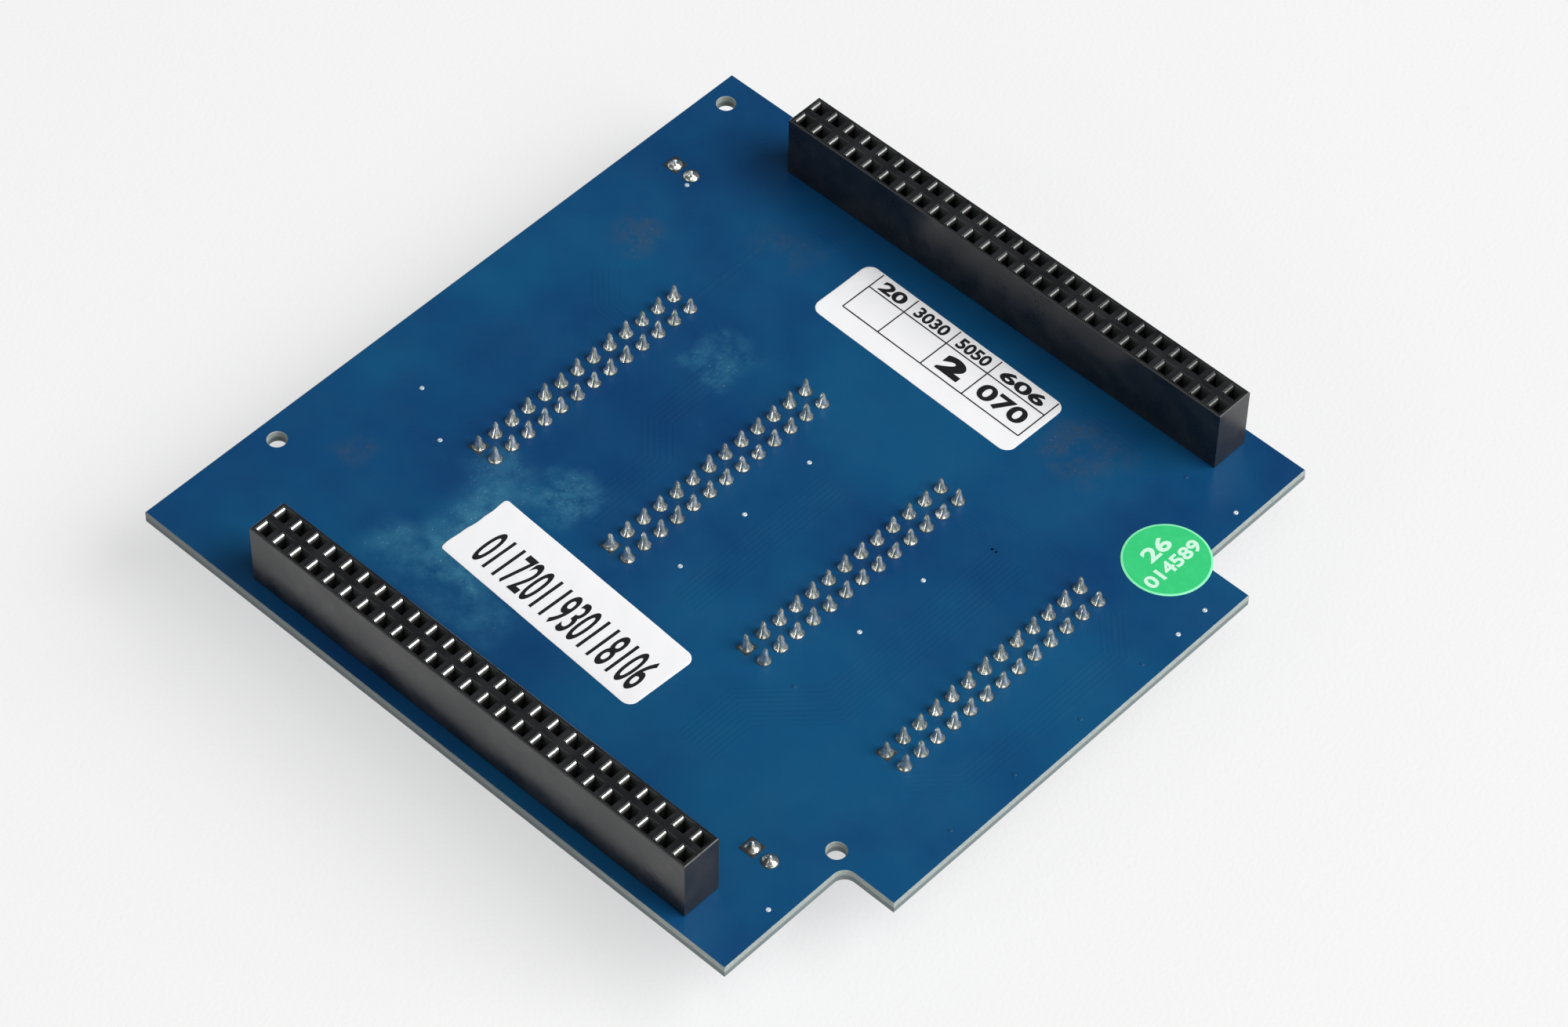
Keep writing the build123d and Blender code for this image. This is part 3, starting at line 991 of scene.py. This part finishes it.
def label_sheet(length, width, corner, left_corner, torn=0.0):
    """x = u L/2 and y = v w(u), with w(u) the half width less the rounding of the corner; the
    surface waves by a few hundredths of a millimetre and turns down at its edge."""
    into_end = 1 - (1 - np.linspace(0, 1, 9)) ** 2
    left = -length / 2 + left_corner - into_end[::-1] * left_corner
    right_end = length / 2 - corner + into_end * corner
    along = np.concatenate([left, np.linspace(left[-1], right_end[0], 33)[1:-1], right_end])
    radius = np.where(along < 0, left_corner, corner)
    over = np.clip(np.abs(along) - (length / 2 - radius), 0, radius)
    half = width / 2 - radius + np.sqrt(radius**2 - over**2)
    across = np.concatenate([[-1, -0.985], np.linspace(-0.96, 0.96, 25), [0.985, 1]])
    x = np.repeat(along[None], len(across), axis=0)
    y = across[:, None] * half[None]
    if torn:
        ragged = 0.5 + 0.35 * np.sin(across * 3.4 + 0.6) + 0.15 * np.sin(across * 11.0 + 1.0)
        share = np.clip((-along - (length / 2 - torn_reach)) / torn_reach, 0, 1) ** 2
        x = x + torn * ragged[:, None] * share[None]
    wave = 0.012 * np.sin(x * 0.55 + 0.7) * np.cos(y * 0.8) + 0.008 * np.sin(x * 1.7 + y * 1.1)
    edge = np.minimum(length / 2 - np.abs(x), half[None] - np.abs(y))
    rise = paper_lift + wave - edge_drop * np.exp(-np.clip(edge, 0, 1) * 9.0)
    top = np.stack([x, y, rise], axis=-1)
    bottom = np.stack([x, y, np.full(x.shape, paper_foot)], axis=-1)
    return slab(top * mm, bottom * mm)


def laid(skin, place, degrees):
    """The skin turned about Z and put down on the board."""
    angle = math.radians(degrees)
    turn = np.array([[math.cos(angle), -math.sin(angle)], [math.sin(angle), math.cos(angle)]])
    plan = skin.points[:, :2] @ turn.T + place
    return Skin(np.column_stack([plan, skin.points[:, 2] + board_top]), skin.groups)


label_turns = {"table_label": -1.4, "strip_label": -3.0}
sheets = (
    ("table_label", label_sheet(30.0, 9.5, 1.3, 1.3), (-0.15 * mm, 0.05 * mm)),
    ("strip_label", label_sheet(29.9, 9.6, 1.2, 0.4, torn=0.25), (0, 0)),
)
for name, sheet, shift in sheets:
    sheet = laid(sheet, middle(name) + shift, label_turns[name])
    piece = make_piece(f"{name}_sheet", sheet, [label_paper], sharp=50)
    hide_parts(name)

# %% [markdown]
# ## Print
# Real labels carry names and codes. Plain numbers stand in their place, with the weight, slant
# and size that such print has. Blender's own font is turned into a mesh before it is placed; each
# figure is a thin closed plate, a few microns of ink. The table's lines are plates as well, one
# long box for each line.

# %% Figures and lines
ink_height = 0.014 * mm
ink_root = 0.01 * mm
ink_weld = 0.0005 * mm
sheet_top = 0.10 * mm


def figures(text, width, height, weight, place, face=sheet_top):
    """Figures from the built-in font, made a mesh and stretched to width by height about place."""
    curve = bpy.data.curves.new("figures", "FONT")
    curve.body = text
    curve.offset = weight
    curve.extrude = 0.01
    curve.resolution_u = 6
    holder = bpy.data.objects.new("figures", curve)
    mesh = bpy.data.meshes.new_from_object(holder)
    points = np.empty(len(mesh.vertices) * 3)
    mesh.vertices.foreach_get("co", points)
    points = points.reshape(-1, 3)
    low, high = points.min(axis=0), points.max(axis=0)
    points = (points - (low + high) / 2) / (high - low) * np.array([width, height, 1.0]) * mm
    points[:, 2] = np.where(points[:, 2] > 0, face + ink_height, face - ink_root)
    shapes = {}
    for polygon in mesh.polygons:
        shapes.setdefault(len(polygon.vertices), []).append(tuple(polygon.vertices))
    bpy.data.objects.remove(holder)
    bpy.data.curves.remove(curve)
    bpy.data.meshes.remove(mesh)
    skin = Skin(points, [(faces, 0) for faces in shapes.values()])
    return skin.changed(shift=(place[0] * mm, place[1] * mm, 0))


def line(start, end, width=0.15, face=sheet_top):
    """A straight printed line: a box from start to end, width across."""
    route = np.array([start, end], dtype=float) * mm
    side = normals_of(route) * width * mm / 2
    ring = np.concatenate([route - side, route[::-1] + side])
    return closed_rings([at_height(ring, z) for z in (face - ink_root, face + ink_height)])


column_lines = [-12.75, -7.35, -0.85, 5.4, 13.95]
row_lines = [-2.0, 2.2]
table_top = 4.6
table_print = [line((x, row_lines[0]), (x, table_top)) for x in column_lines]
table_print += [line((column_lines[0], y), (column_lines[-1], y)) for y in row_lines]
headings = [("20", 3.6, 0.035), ("3030", 4.7, 0.03), ("5050", 4.6, 0.03), ("606", 6.3, 0.035)]
heading_height = 1.65
for (text, width, weight), *sides in zip(headings, column_lines[:-1], column_lines[1:]):
    table_print.append(figures(text, width, heading_height, weight, (sum(sides) / 2, 3.4)))
table_print.append(figures("2", 3.3, 2.7, 0.07, (2.2, 0.1)))
table_print.append(figures("070", 6.7, 2.4, 0.03, (9.6, 0.1)))
strip_print = [figures("01172011930118106", 25.2, 5.0, 0.014, (0.7, -0.95))]
for name, skins in (("table_label", table_print), ("strip_label", strip_print)):
    print_skin = laid(joined(*skins), middle(name), label_turns[name])
    make_piece(f"{name}_print", print_skin, [black_ink], sharp=40, weld=ink_weld)

# %% [markdown]
# ## The round sticker
# A green inspection sticker on thin film, glossier than the labels, with a paler ring where the
# colour ends just short of the die-cut edge. One turned profile gives the film with its soft rim,
# and two lines of plain figures, printed in a paler green, stand where the words would be.

# %% Sticker
def make_film(name, colour, paler):
    """Printed film: even colour with faint mottling, glossy, small dents."""
    finish = Finish(name, colour, 0.38, IOR=1.48, Specular_IOR_Level=0.4)
    mottle = finish.noise(900, 4, 0.65)
    shade = finish.blended(finish.band(mottle, 0.40, 0.75, 0.0, 0.35), colour, paler)
    rough = finish.band(mottle, 0.3, 0.7, 0.30, 0.44)
    return finish.done(shade, rough, finish.noise(1100, 3, 0.6), 0.012 * mm)


green_film = make_film("green_film", (0.040, 0.60, 0.20), (0.07, 0.68, 0.28))
pale_film = make_film("pale_green_print", (0.27, 0.90, 0.50), (0.36, 0.92, 0.58))
white_print = make_film("white_print", (0.62, 0.93, 0.74), (0.72, 0.95, 0.80))

sticker_low, sticker_high = corners("round_sticker")
sticker_centre = middle("round_sticker")
sticker_radius = (sticker_high[0] - sticker_low[0]) / 2
film_top = 0.085 * mm
film_sides = 72
film_profile = [
    (sticker_radius, 0.001 * mm), (sticker_radius, 0.05 * mm),
    (sticker_radius - 0.04 * mm, 0.075 * mm), (sticker_radius - 0.25 * mm, film_top),
    (sticker_radius * 0.6, film_top), (sticker_radius * 0.05, film_top),
]
film = turned(film_profile, film_sides)
pale_ring, green_face = np.split(film.groups[0][0], [3 * film_sides])
film.groups[:1] = [(pale_ring, 1), (green_face, 0)]
film = laid(film, sticker_centre, 0)
film_paints = [green_film, pale_film]
sticker = make_piece("round_sticker_film", film, film_paints, sharp=50)
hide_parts("round_sticker")

sticker_figures = joined(
    figures("26", 3.7, 2.0, 0.03, (0.25, 1.75), film_top),
    figures("014589", 8.3, 1.75, 0.03, (-0.05, -0.85), film_top),
)
sticker_print = laid(sticker_figures, sticker_centre, 90)
make_piece("sticker_print", sticker_print, [white_print], sharp=40, weld=ink_weld)

# %% [markdown]
# ## Solder under the sockets
# The sockets stand on this side, so their tails are soldered on the other one. The same hollow
# cone is turned upside down, lower than the joints above because these tails are thin and flat.

# %% Joints of the socket tails
tail_profile = [
    (0.74, -0.02), (0.72, 0.06), (0.58, 0.22), (0.44, 0.48), (0.35, 0.78), (0.30, 1.02),
    (0.20, 1.14),
]
tail_places = at_height(np.concatenate([socket_places[name] for name in socket_names]), 0)
tail_stretch = uneven(tail_places, (0.06, 0.06, 0.10))
tails = hung_below(repeated(joint(tail_profile, 12, 3.0), tail_places, tail_stretch))
make_piece("tail_joints", tails, [solder], sharp=50)

# %% [markdown]
# ## Box headers
# A shroud is a deep open box with a key slot in one long wall. Seen as a surface it has two
# directions: round the outline, and along a profile from the floor down the inner wall, across
# the rim and up the outer wall to the board. In the key slot the rim is simply much higher up, so
# the slot's sides appear where the rim changes height between two stations at the same place.

# %% Header shrouds
key_half = 2.25 * mm
wall = 1.2 * mm
floor_thickness = 2.6 * mm
key_sill = 0.6 * mm
rim_round = 0.12 * mm
rim_lead = 0.35 * mm


def shroud(node):
    """Stations round the outline times a profile: floor, inner wall, lead-in, rim, outer wall."""
    low, high = corners(node)
    x, y = (high - low)[:2] / 2
    plan = np.array(
        [
            (-x, y), (-x, key_half), (-x, key_half), (-x, -key_half), (-x, -key_half), (-x, -y),
            (x, -y), (x, y),
        ]
    )
    at_key = np.array([0, 0, 1, 1, 0, 0, 0, 0])
    side = np.array([(-1, 1), (-1, 0), (-1, 0), (-1, 0), (-1, 0), (-1, -1), (1, -1), (1, 1)])
    inner_floor = board_bottom - floor_thickness
    rim = np.where(at_key, inner_floor - key_sill, 0.0)
    lead_in = rim_lead * (1 - at_key)
    levels = (
        (wall, inner_floor),
        (wall, rim + lead_in),
        (wall - lead_in, rim),
        (rim_round, rim),
        (0.0, rim + rim_round),
        (0.0, board_bottom - rim_round),
        (rim_round, board_bottom),
    )
    centre = middle(node)
    return closed_rings(
        [at_height(plan - side * np.reshape(inward, (-1, 1)) + centre, z) for inward, z in levels]
    )


for number in range(1, 5):
    node = f"header_shroud_{number}"
    piece = make_piece(
        f"box_header_{number}", shroud(node), [shroud_plastic], sharp=30, weld=weld
    )
    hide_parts(node)

# %% [markdown]
# ## Header pins
# Square plated pins with a tapered tip, from inside the shroud up into the solder cones. One pin
# is a square profile turned with four sides.

# %% Pins
pin_half = 0.32 * mm
pin_foot = corners("header_pins_1")[0][2]
pin_end = board_top - pin_foot + 0.25 * mm
pin = squared([(0.45 * pin_half, 0.0), (pin_half, 0.55 * mm), (pin_half, pin_end)])
for number, places in enumerate(header_places, start=1):
    pins = repeated(pin, at_height(places, pin_foot))
    piece = make_piece(f"pins_{number}", pins, [pin_gold], sharp=30)
    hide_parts(f"header_pins_{number}")

# %% [markdown]
# ## Buffer chips
# Flat plastic packages with ten gull-wing leads on each long side. The body is a stack of
# rectangles that grows to the parting line and shrinks again; the dimple beside lead 1 is a
# shallow turned dish. A lead is one strip, with the same helper as the contacts: out of the body,
# down to the board and flat along its pad.

# %% Chip finish
def make_chip_finish():
    """Epoxy package: dark grey, matt, fine granular texture, a faint polish on top."""
    finish = Finish("chip_epoxy", (0.020, 0.020, 0.021), 0.55, IOR=1.5)
    grain = finish.noise(6500, 3, 0.65)
    patches = finish.noise(480, 3, 0.6)
    worn = finish.band(patches, 0.3, 0.7, 0.0, 0.6)
    shade = finish.blended(worn, (0.016, 0.016, 0.017), (0.034, 0.034, 0.035))
    shade = finish.blended(finish.band(grain, 0.62, 0.8, 0.0, 0.3), shade, (0.09, 0.09, 0.09))
    return finish.done(shade, finish.band(patches, 0.3, 0.7, 0.46, 0.64), grain, 0.02 * mm)


chip_epoxy = make_chip_finish()
print("chip finish:", chip_epoxy.name)

# %% Chips
chip_half = np.array([2.2, 3.25]) * mm
chip_spacing = 10.1 * mm
lead_pitch = 0.65 * mm
leads_per_side = 10
square_corners = np.array([(-1, -1), (1, -1), (1, 1), (-1, 1)])


def stacked(levels):
    """Rectangles of (half x, half y, z) in millimetres, joined into a closed block, low one first."""
    rings = [at_height(square_corners * (x, y), z) for x, y, z in levels]
    return closed_rings(rings).changed(mm)


def chip_body():
    """Package with its board side at z 0 and its marked face at 1.1 mm, edges broken, and a
    shallow dish beside lead 1, a hair proud of the face so that its rim catches the light."""
    x, y = chip_half / mm
    block = stacked(
        [
            (x - 0.09, y - 0.09, 0.10), (x - 0.02, y - 0.02, 0.48), (x, y, 0.52), (x, y, 0.60),
            (x - 0.10, y - 0.10, 1.06), (x - 0.16, y - 0.16, 1.10),
        ]
    )
    dish = turned([(0.34, 1.09), (0.33, 1.115), (0.27, 1.118), (0.10, 1.102)], 20)
    return joined(block, dish.changed(mm, (-1.35 * mm, -2.35 * mm, 0)))


lead_line = [
    (2.05, 0.56), (2.42, 0.56), (2.58, 0.50), (2.66, 0.36), (2.72, 0.16), (2.84, 0.075),
    (3.2, 0.07),
]
one_lead = strip(lead_line, 0.24, 0.14)
lead_row = np.outer(centred(leads_per_side, lead_pitch), (0, 1, 0))
other_lead = one_lead.changed((-1, -1, 1))
chip_leads = joined(repeated(one_lead, lead_row), repeated(other_lead, lead_row))

chip_places = []
for number in range(1, 4):
    node = f"buffer_chips_{number}"
    low, high = corners(node)
    count = round((high[1] - low[1] - 2 * chip_half[1]) / chip_spacing) + 1
    column = np.column_stack([np.zeros(count), centred(count, chip_spacing)])
    chip_places.append(at_height(middle(node) + column, 0))
    bodies = hung_below(repeated(chip_body(), chip_places[-1]))
    piece = make_piece(f"chips_{number}", bodies, [chip_epoxy], sharp=20)
    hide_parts(node)
all_chips = np.concatenate(chip_places)
all_leads = hung_below(repeated(chip_leads, all_chips))
make_piece("chip_leads", all_leads, [contact_metal], sharp=40)

# %% [markdown]
# ## Bypass capacitors
# One small ceramic block beside each chip: a tan body with a tinned cap at each end. Body and
# caps are one stack of rectangles lying on its side, with the caps a little thicker, and a fillet
# of solder stands at each end.

# %% Bypass capacitors
def make_ceramic():
    """Fired ceramic: matt tan, sandy grain."""
    finish = Finish("ceramic_tan", (0.36, 0.25, 0.15), 0.6)
    sand = finish.noise(5200, 3, 0.7)
    shade = finish.blended(finish.band(sand, 0.3, 0.7), (0.31, 0.21, 0.125), (0.44, 0.32, 0.20))
    return finish.done(shade, finish.band(sand, 0.3, 0.7, 0.5, 0.72), sand, 0.01 * mm)


ceramic_tan = make_ceramic()
cap_rise = 0.40 * mm


def bypass_capacitor():
    """Levels along X: cap, body, cap, then laid down so that the levels run along the board."""
    levels = [
        (0.34, 0.36, -0.80), (0.39, 0.40, -0.76), (0.39, 0.40, -0.46), (0.36, 0.37, -0.44),
        (0.36, 0.37, 0.44), (0.39, 0.40, 0.46), (0.39, 0.40, 0.76), (0.34, 0.36, 0.80),
    ]
    block = stacked(levels)
    low_cap, body, high_cap = np.split(block.groups[0][0], [8, 20])
    points = block.points[:, [2, 1, 0]] * (1, 1, -1) + (0, 0, cap_rise)
    ends = [(faces, 1) for faces, _ in block.groups[1:]]
    return Skin(points, [(body, 0), (low_cap, 1), (high_cap, 1), *ends])


def end_fillet(side):
    """A low cone of solder, narrower along Y, round the end of the block."""
    cone = turned([(0.52, -0.01), (0.44, 0.05), (0.20, 0.18), (0.05, 0.42)], 10)
    return cone.changed((1.0, 0.75, 1.0), (side * 0.80, 0, 0)).changed(mm)


before_chip = (0, chip_spacing / 2, 0)
for number, places in enumerate(chip_places, start=1):
    blocks = hung_below(repeated(bypass_capacitor(), places - before_chip))
    piece = make_piece(f"bypass_{number}", blocks, [ceramic_tan, tin], sharp=30)
    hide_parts(f"bypass_capacitors_{number}")
all_bypass = all_chips - before_chip
fillets = joined(*(repeated(end_fillet(side), all_bypass) for side in (-1, 1)))
make_piece("bypass_solder", hung_below(fillets), [solder], sharp=50)

# %% [markdown]
# ## Bulk capacitors
# Two radial cans hang from the underside. A printed sleeve is shrunk over the can: it follows the
# groove rolled into the rubber end, and curls over the rim of the flat top, inside which the bare
# aluminium shows, scored with a cross so that it can vent. All of that is one turned profile with
# the paint changed from one band of it to the next.

# %% Sleeve and can finish
def make_sleeve():
    """Shrunk sleeve: dark glossy film with faint mottling."""
    colour = (0.02, 0.025, 0.04)
    finish = Finish("can_sleeve", colour, 0.3, Coat_Weight=0.3, Coat_Roughness=0.2)
    mottle = finish.noise(700, 3, 0.6)
    faint = finish.band(mottle, 0.35, 0.7)
    shade = finish.blended(faint, (0.013, 0.016, 0.026), (0.026, 0.031, 0.046))
    return finish.done(shade, finish.band(mottle, 0.3, 0.7, 0.26, 0.40), mottle, 0.02 * mm)


can_paints = [
    make_sleeve(),
    make_ink("stripe_print", (0.42, 0.44, 0.46), 0.35, (0.30, 0.31, 0.33)),
    make_plated("drawn_aluminium", (0.80, 0.80, 0.81), (0.62, 0.62, 0.64), even),
    make_black_plastic("end_rubber", (0.014, 0.014, 0.014), 0.55, 0.70, 0.05),
]
print("can paints:", [paint.name for paint in can_paints])

# %% Cans
can_sides = 64
stripe_start, stripe_end = 6, 14
sleeve_start, sleeve_end = 2, 14


def can():
    """Profile from the rubber end at the board, over the groove and the sleeve, to the vent."""
    profile = [
        (2.55, 0.0), (2.6, 0.25), (2.98, 0.30), (3.12, 0.42), (3.13, 1.05), (3.04, 1.22),
        (2.86, 1.40), (2.86, 1.55), (3.04, 1.74), (3.14, 1.92), (3.15, 2.2), (3.15, 6.35),
        (3.10, 6.66), (2.95, 6.88), (2.72, 6.985), (2.42, 7.0), (2.36, 6.97), (2.30, 6.90),
        (1.2, 6.885), (0.1, 6.88),
    ]
    shape = turned(profile, can_sides)
    faces = shape.groups[0][0].reshape(-1, can_sides, 4)
    rubber, sleeve, top = np.split(faces, [sleeve_start, sleeve_end])
    plain, stripe, rest = np.split(sleeve, [stripe_start, stripe_end], axis=1)
    bands = ((rubber, 3), (plain, 0), (rest, 0), (stripe, 1), (top, 2))
    ends = [(shape.groups[1][0], 2), (shape.groups[2][0], 3)]
    return Skin(shape.points, [(band.reshape(-1, 4), paint) for band, paint in bands] + ends)


def vent_score():
    """Two crossed ridges with sloping flanks, standing in for the lines pressed into the can."""
    ridge = stacked([(1.9, 0.09, 6.86), (1.86, 0.03, 6.93)])
    cross = Skin(ridge.points[:, [1, 0, 2]] * (-1, 1, 1), ridge.groups)
    both = joined(ridge, cross)
    return Skin(both.points, [(faces, 2) for faces, _ in both.groups])


whole_can = joined(can().changed(mm), vent_score())
for side in ("far", "near"):
    node = f"{side}_capacitor_can"
    body = hung_below(whole_can.changed(shift=(*middle(node), 0)))
    piece = make_piece(f"{side}_can", body, can_paints, sharp=35)
    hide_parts(node)

# %% [markdown]
# ## Copper on the underside
# Every lead needs its pad, and the chips their tracks: short fans run from each row of chip
# leads towards the header pins on both sides, and wider buses run in from both ends of the board.

# %% Pads below
lead_pad = stacked([(0.62, 0.165, -0.02), (0.62, 0.165, 0.03), (0.60, 0.15, 0.04)])
end_pad = lead_pad.changed((1.0, 2.9, 1.0))
pad_rows = np.concatenate([lead_row + (side * 3.0 * mm, 0, 0) for side in (1, -1)])
end_places = np.array([(-0.95, 0, 0), (0.95, 0, 0)]) * mm
lower_pads = joined(
    repeated(repeated(lead_pad, pad_rows), all_chips),
    repeated(repeated(end_pad, end_places), all_bypass),
    repeated(pad(0.80, 0.10), tail_places),
    repeated(pad(0.85, 0.12), at_height(header_pins, 0)),
)
make_piece("lower_pads", hung_below(lower_pads), [tin, mask_opening], sharp=40)

# %% Tracks below
fan_reach = 6.0
lower_tracks = []
for x, y, _ in all_chips / mm:
    for side in (-1, 1):
        if x + fan_reach * side <= board_high[0] / mm:
            bends = ((3.2, 0.0), (4.2, 0.0), (4.9, 0.7), (5.2, 0.7))
            route = [(x + side * out, y + along) for out, along in bends]
            lower_tracks += bundle(route, leads_per_side, lead_pitch / mm)
for centre, count in ((-34.5, 9), (-1.0, 5)):
    lower_tracks += bundle([(centre, -37.5), (centre, -24.0), (centre + 3.0, -21.0)], count, 0.7)
    lower_tracks += bundle([(centre, 37.5), (centre, 26.0), (centre + 3.0, 23.0)], count, 0.7)
lower_skin = hung_below(joined(*lower_tracks))
make_piece("lower_tracks", lower_skin, [copper_under_mask], sharp=60)

# %% [markdown]
# ## Studio
# A pale floor, a dim world, one large soft box and four weak ones. The board mirrors whatever
# stands opposite the camera, so that part of the room is left dark: the blue stays deep. The key
# light comes from the right, halfway up, and makes the right flank of every cone bright; the weak
# lights keep the shadows open and give the metal something to mirror.

# %% Floor
def make_floor_finish():
    """Pale cloth. What the camera sees is partly its own glow, so shadows stay but are light."""
    finish = Finish("pale_cloth", (0.80, 0.80, 0.80), 0.9, Specular_IOR_Level=0.1)
    threads = finish.noise(1800)
    path = finish.add("LightPath").outputs
    seen = finish.worked("MAXIMUM", path["Is Camera Ray"], path["Is Glossy Ray"])
    cloth = finish.blended(threads, (0.78, 0.78, 0.785), (0.84, 0.84, 0.84))
    finish.feed(finish.shader.inputs["Emission Color"], (1.0, 1.0, 1.0))
    finish.feed(finish.shader.inputs["Emission Strength"], finish.times(seen, 0.60))
    shade = finish.blended(seen, cloth, (0.30, 0.30, 0.30))
    return finish.done(shade, 0.9, threads, 0.05 * mm)


floor_half = 2.0
floor_corners = at_height(square_corners * floor_half, 0).tolist()
floor_mesh = bpy.data.meshes.new("floor")
floor_mesh.from_pydata(floor_corners, [], [(0, 1, 2, 3)])
floor = bpy.data.objects.new("floor", floor_mesh)
floor_mesh.materials.append(make_floor_finish())
bpy.context.scene.collection.objects.link(floor)

# %% Lights
white = (1.0, 1.0, 1.0)


def soft_light(name, direction, reach, size, power, colour=white):
    """A rectangular area light at reach metres along direction, facing the middle of the board."""
    data = bpy.data.lights.new(name, "AREA")
    data.shape = "RECTANGLE"
    data.size, data.size_y = size
    data.energy = power
    data.color = colour
    light = bpy.data.objects.new(name, data)
    direction = Vector(direction).normalized()
    light.location = Vector((0, 0, board_top)) + direction * reach
    light.rotation_euler = direction.to_track_quat("Z", "Y").to_euler()
    bpy.context.scene.collection.objects.link(light)


soft_light("key", (0.66, 0.36, 0.66), 2.7, (2.2, 1.9), 92.0)
soft_light("front_right", (0.88, -0.34, 0.33), 1.8, (1.4, 0.9), 4.5)
soft_light("top", (0.25, -0.25, 0.93), 1.6, (0.6, 0.6), 3.5)
soft_light("front", (-0.25, -0.9, 0.5), 1.8, (1.2, 0.9), 4.5)
soft_light("left", (-0.94, -0.31, 0.25), 1.8, (1.3, 0.8), 1.8, (0.86, 0.93, 1.0))

world = bpy.data.worlds.new("studio")
world.use_nodes = True
bpy.context.scene.world = world
background = world.node_tree.nodes["Background"]
background.inputs["Color"].default_value = (*white, 1.0)
background.inputs["Strength"].default_value = 0.10
bpy.context.scene.view_settings.view_transform = "Standard"
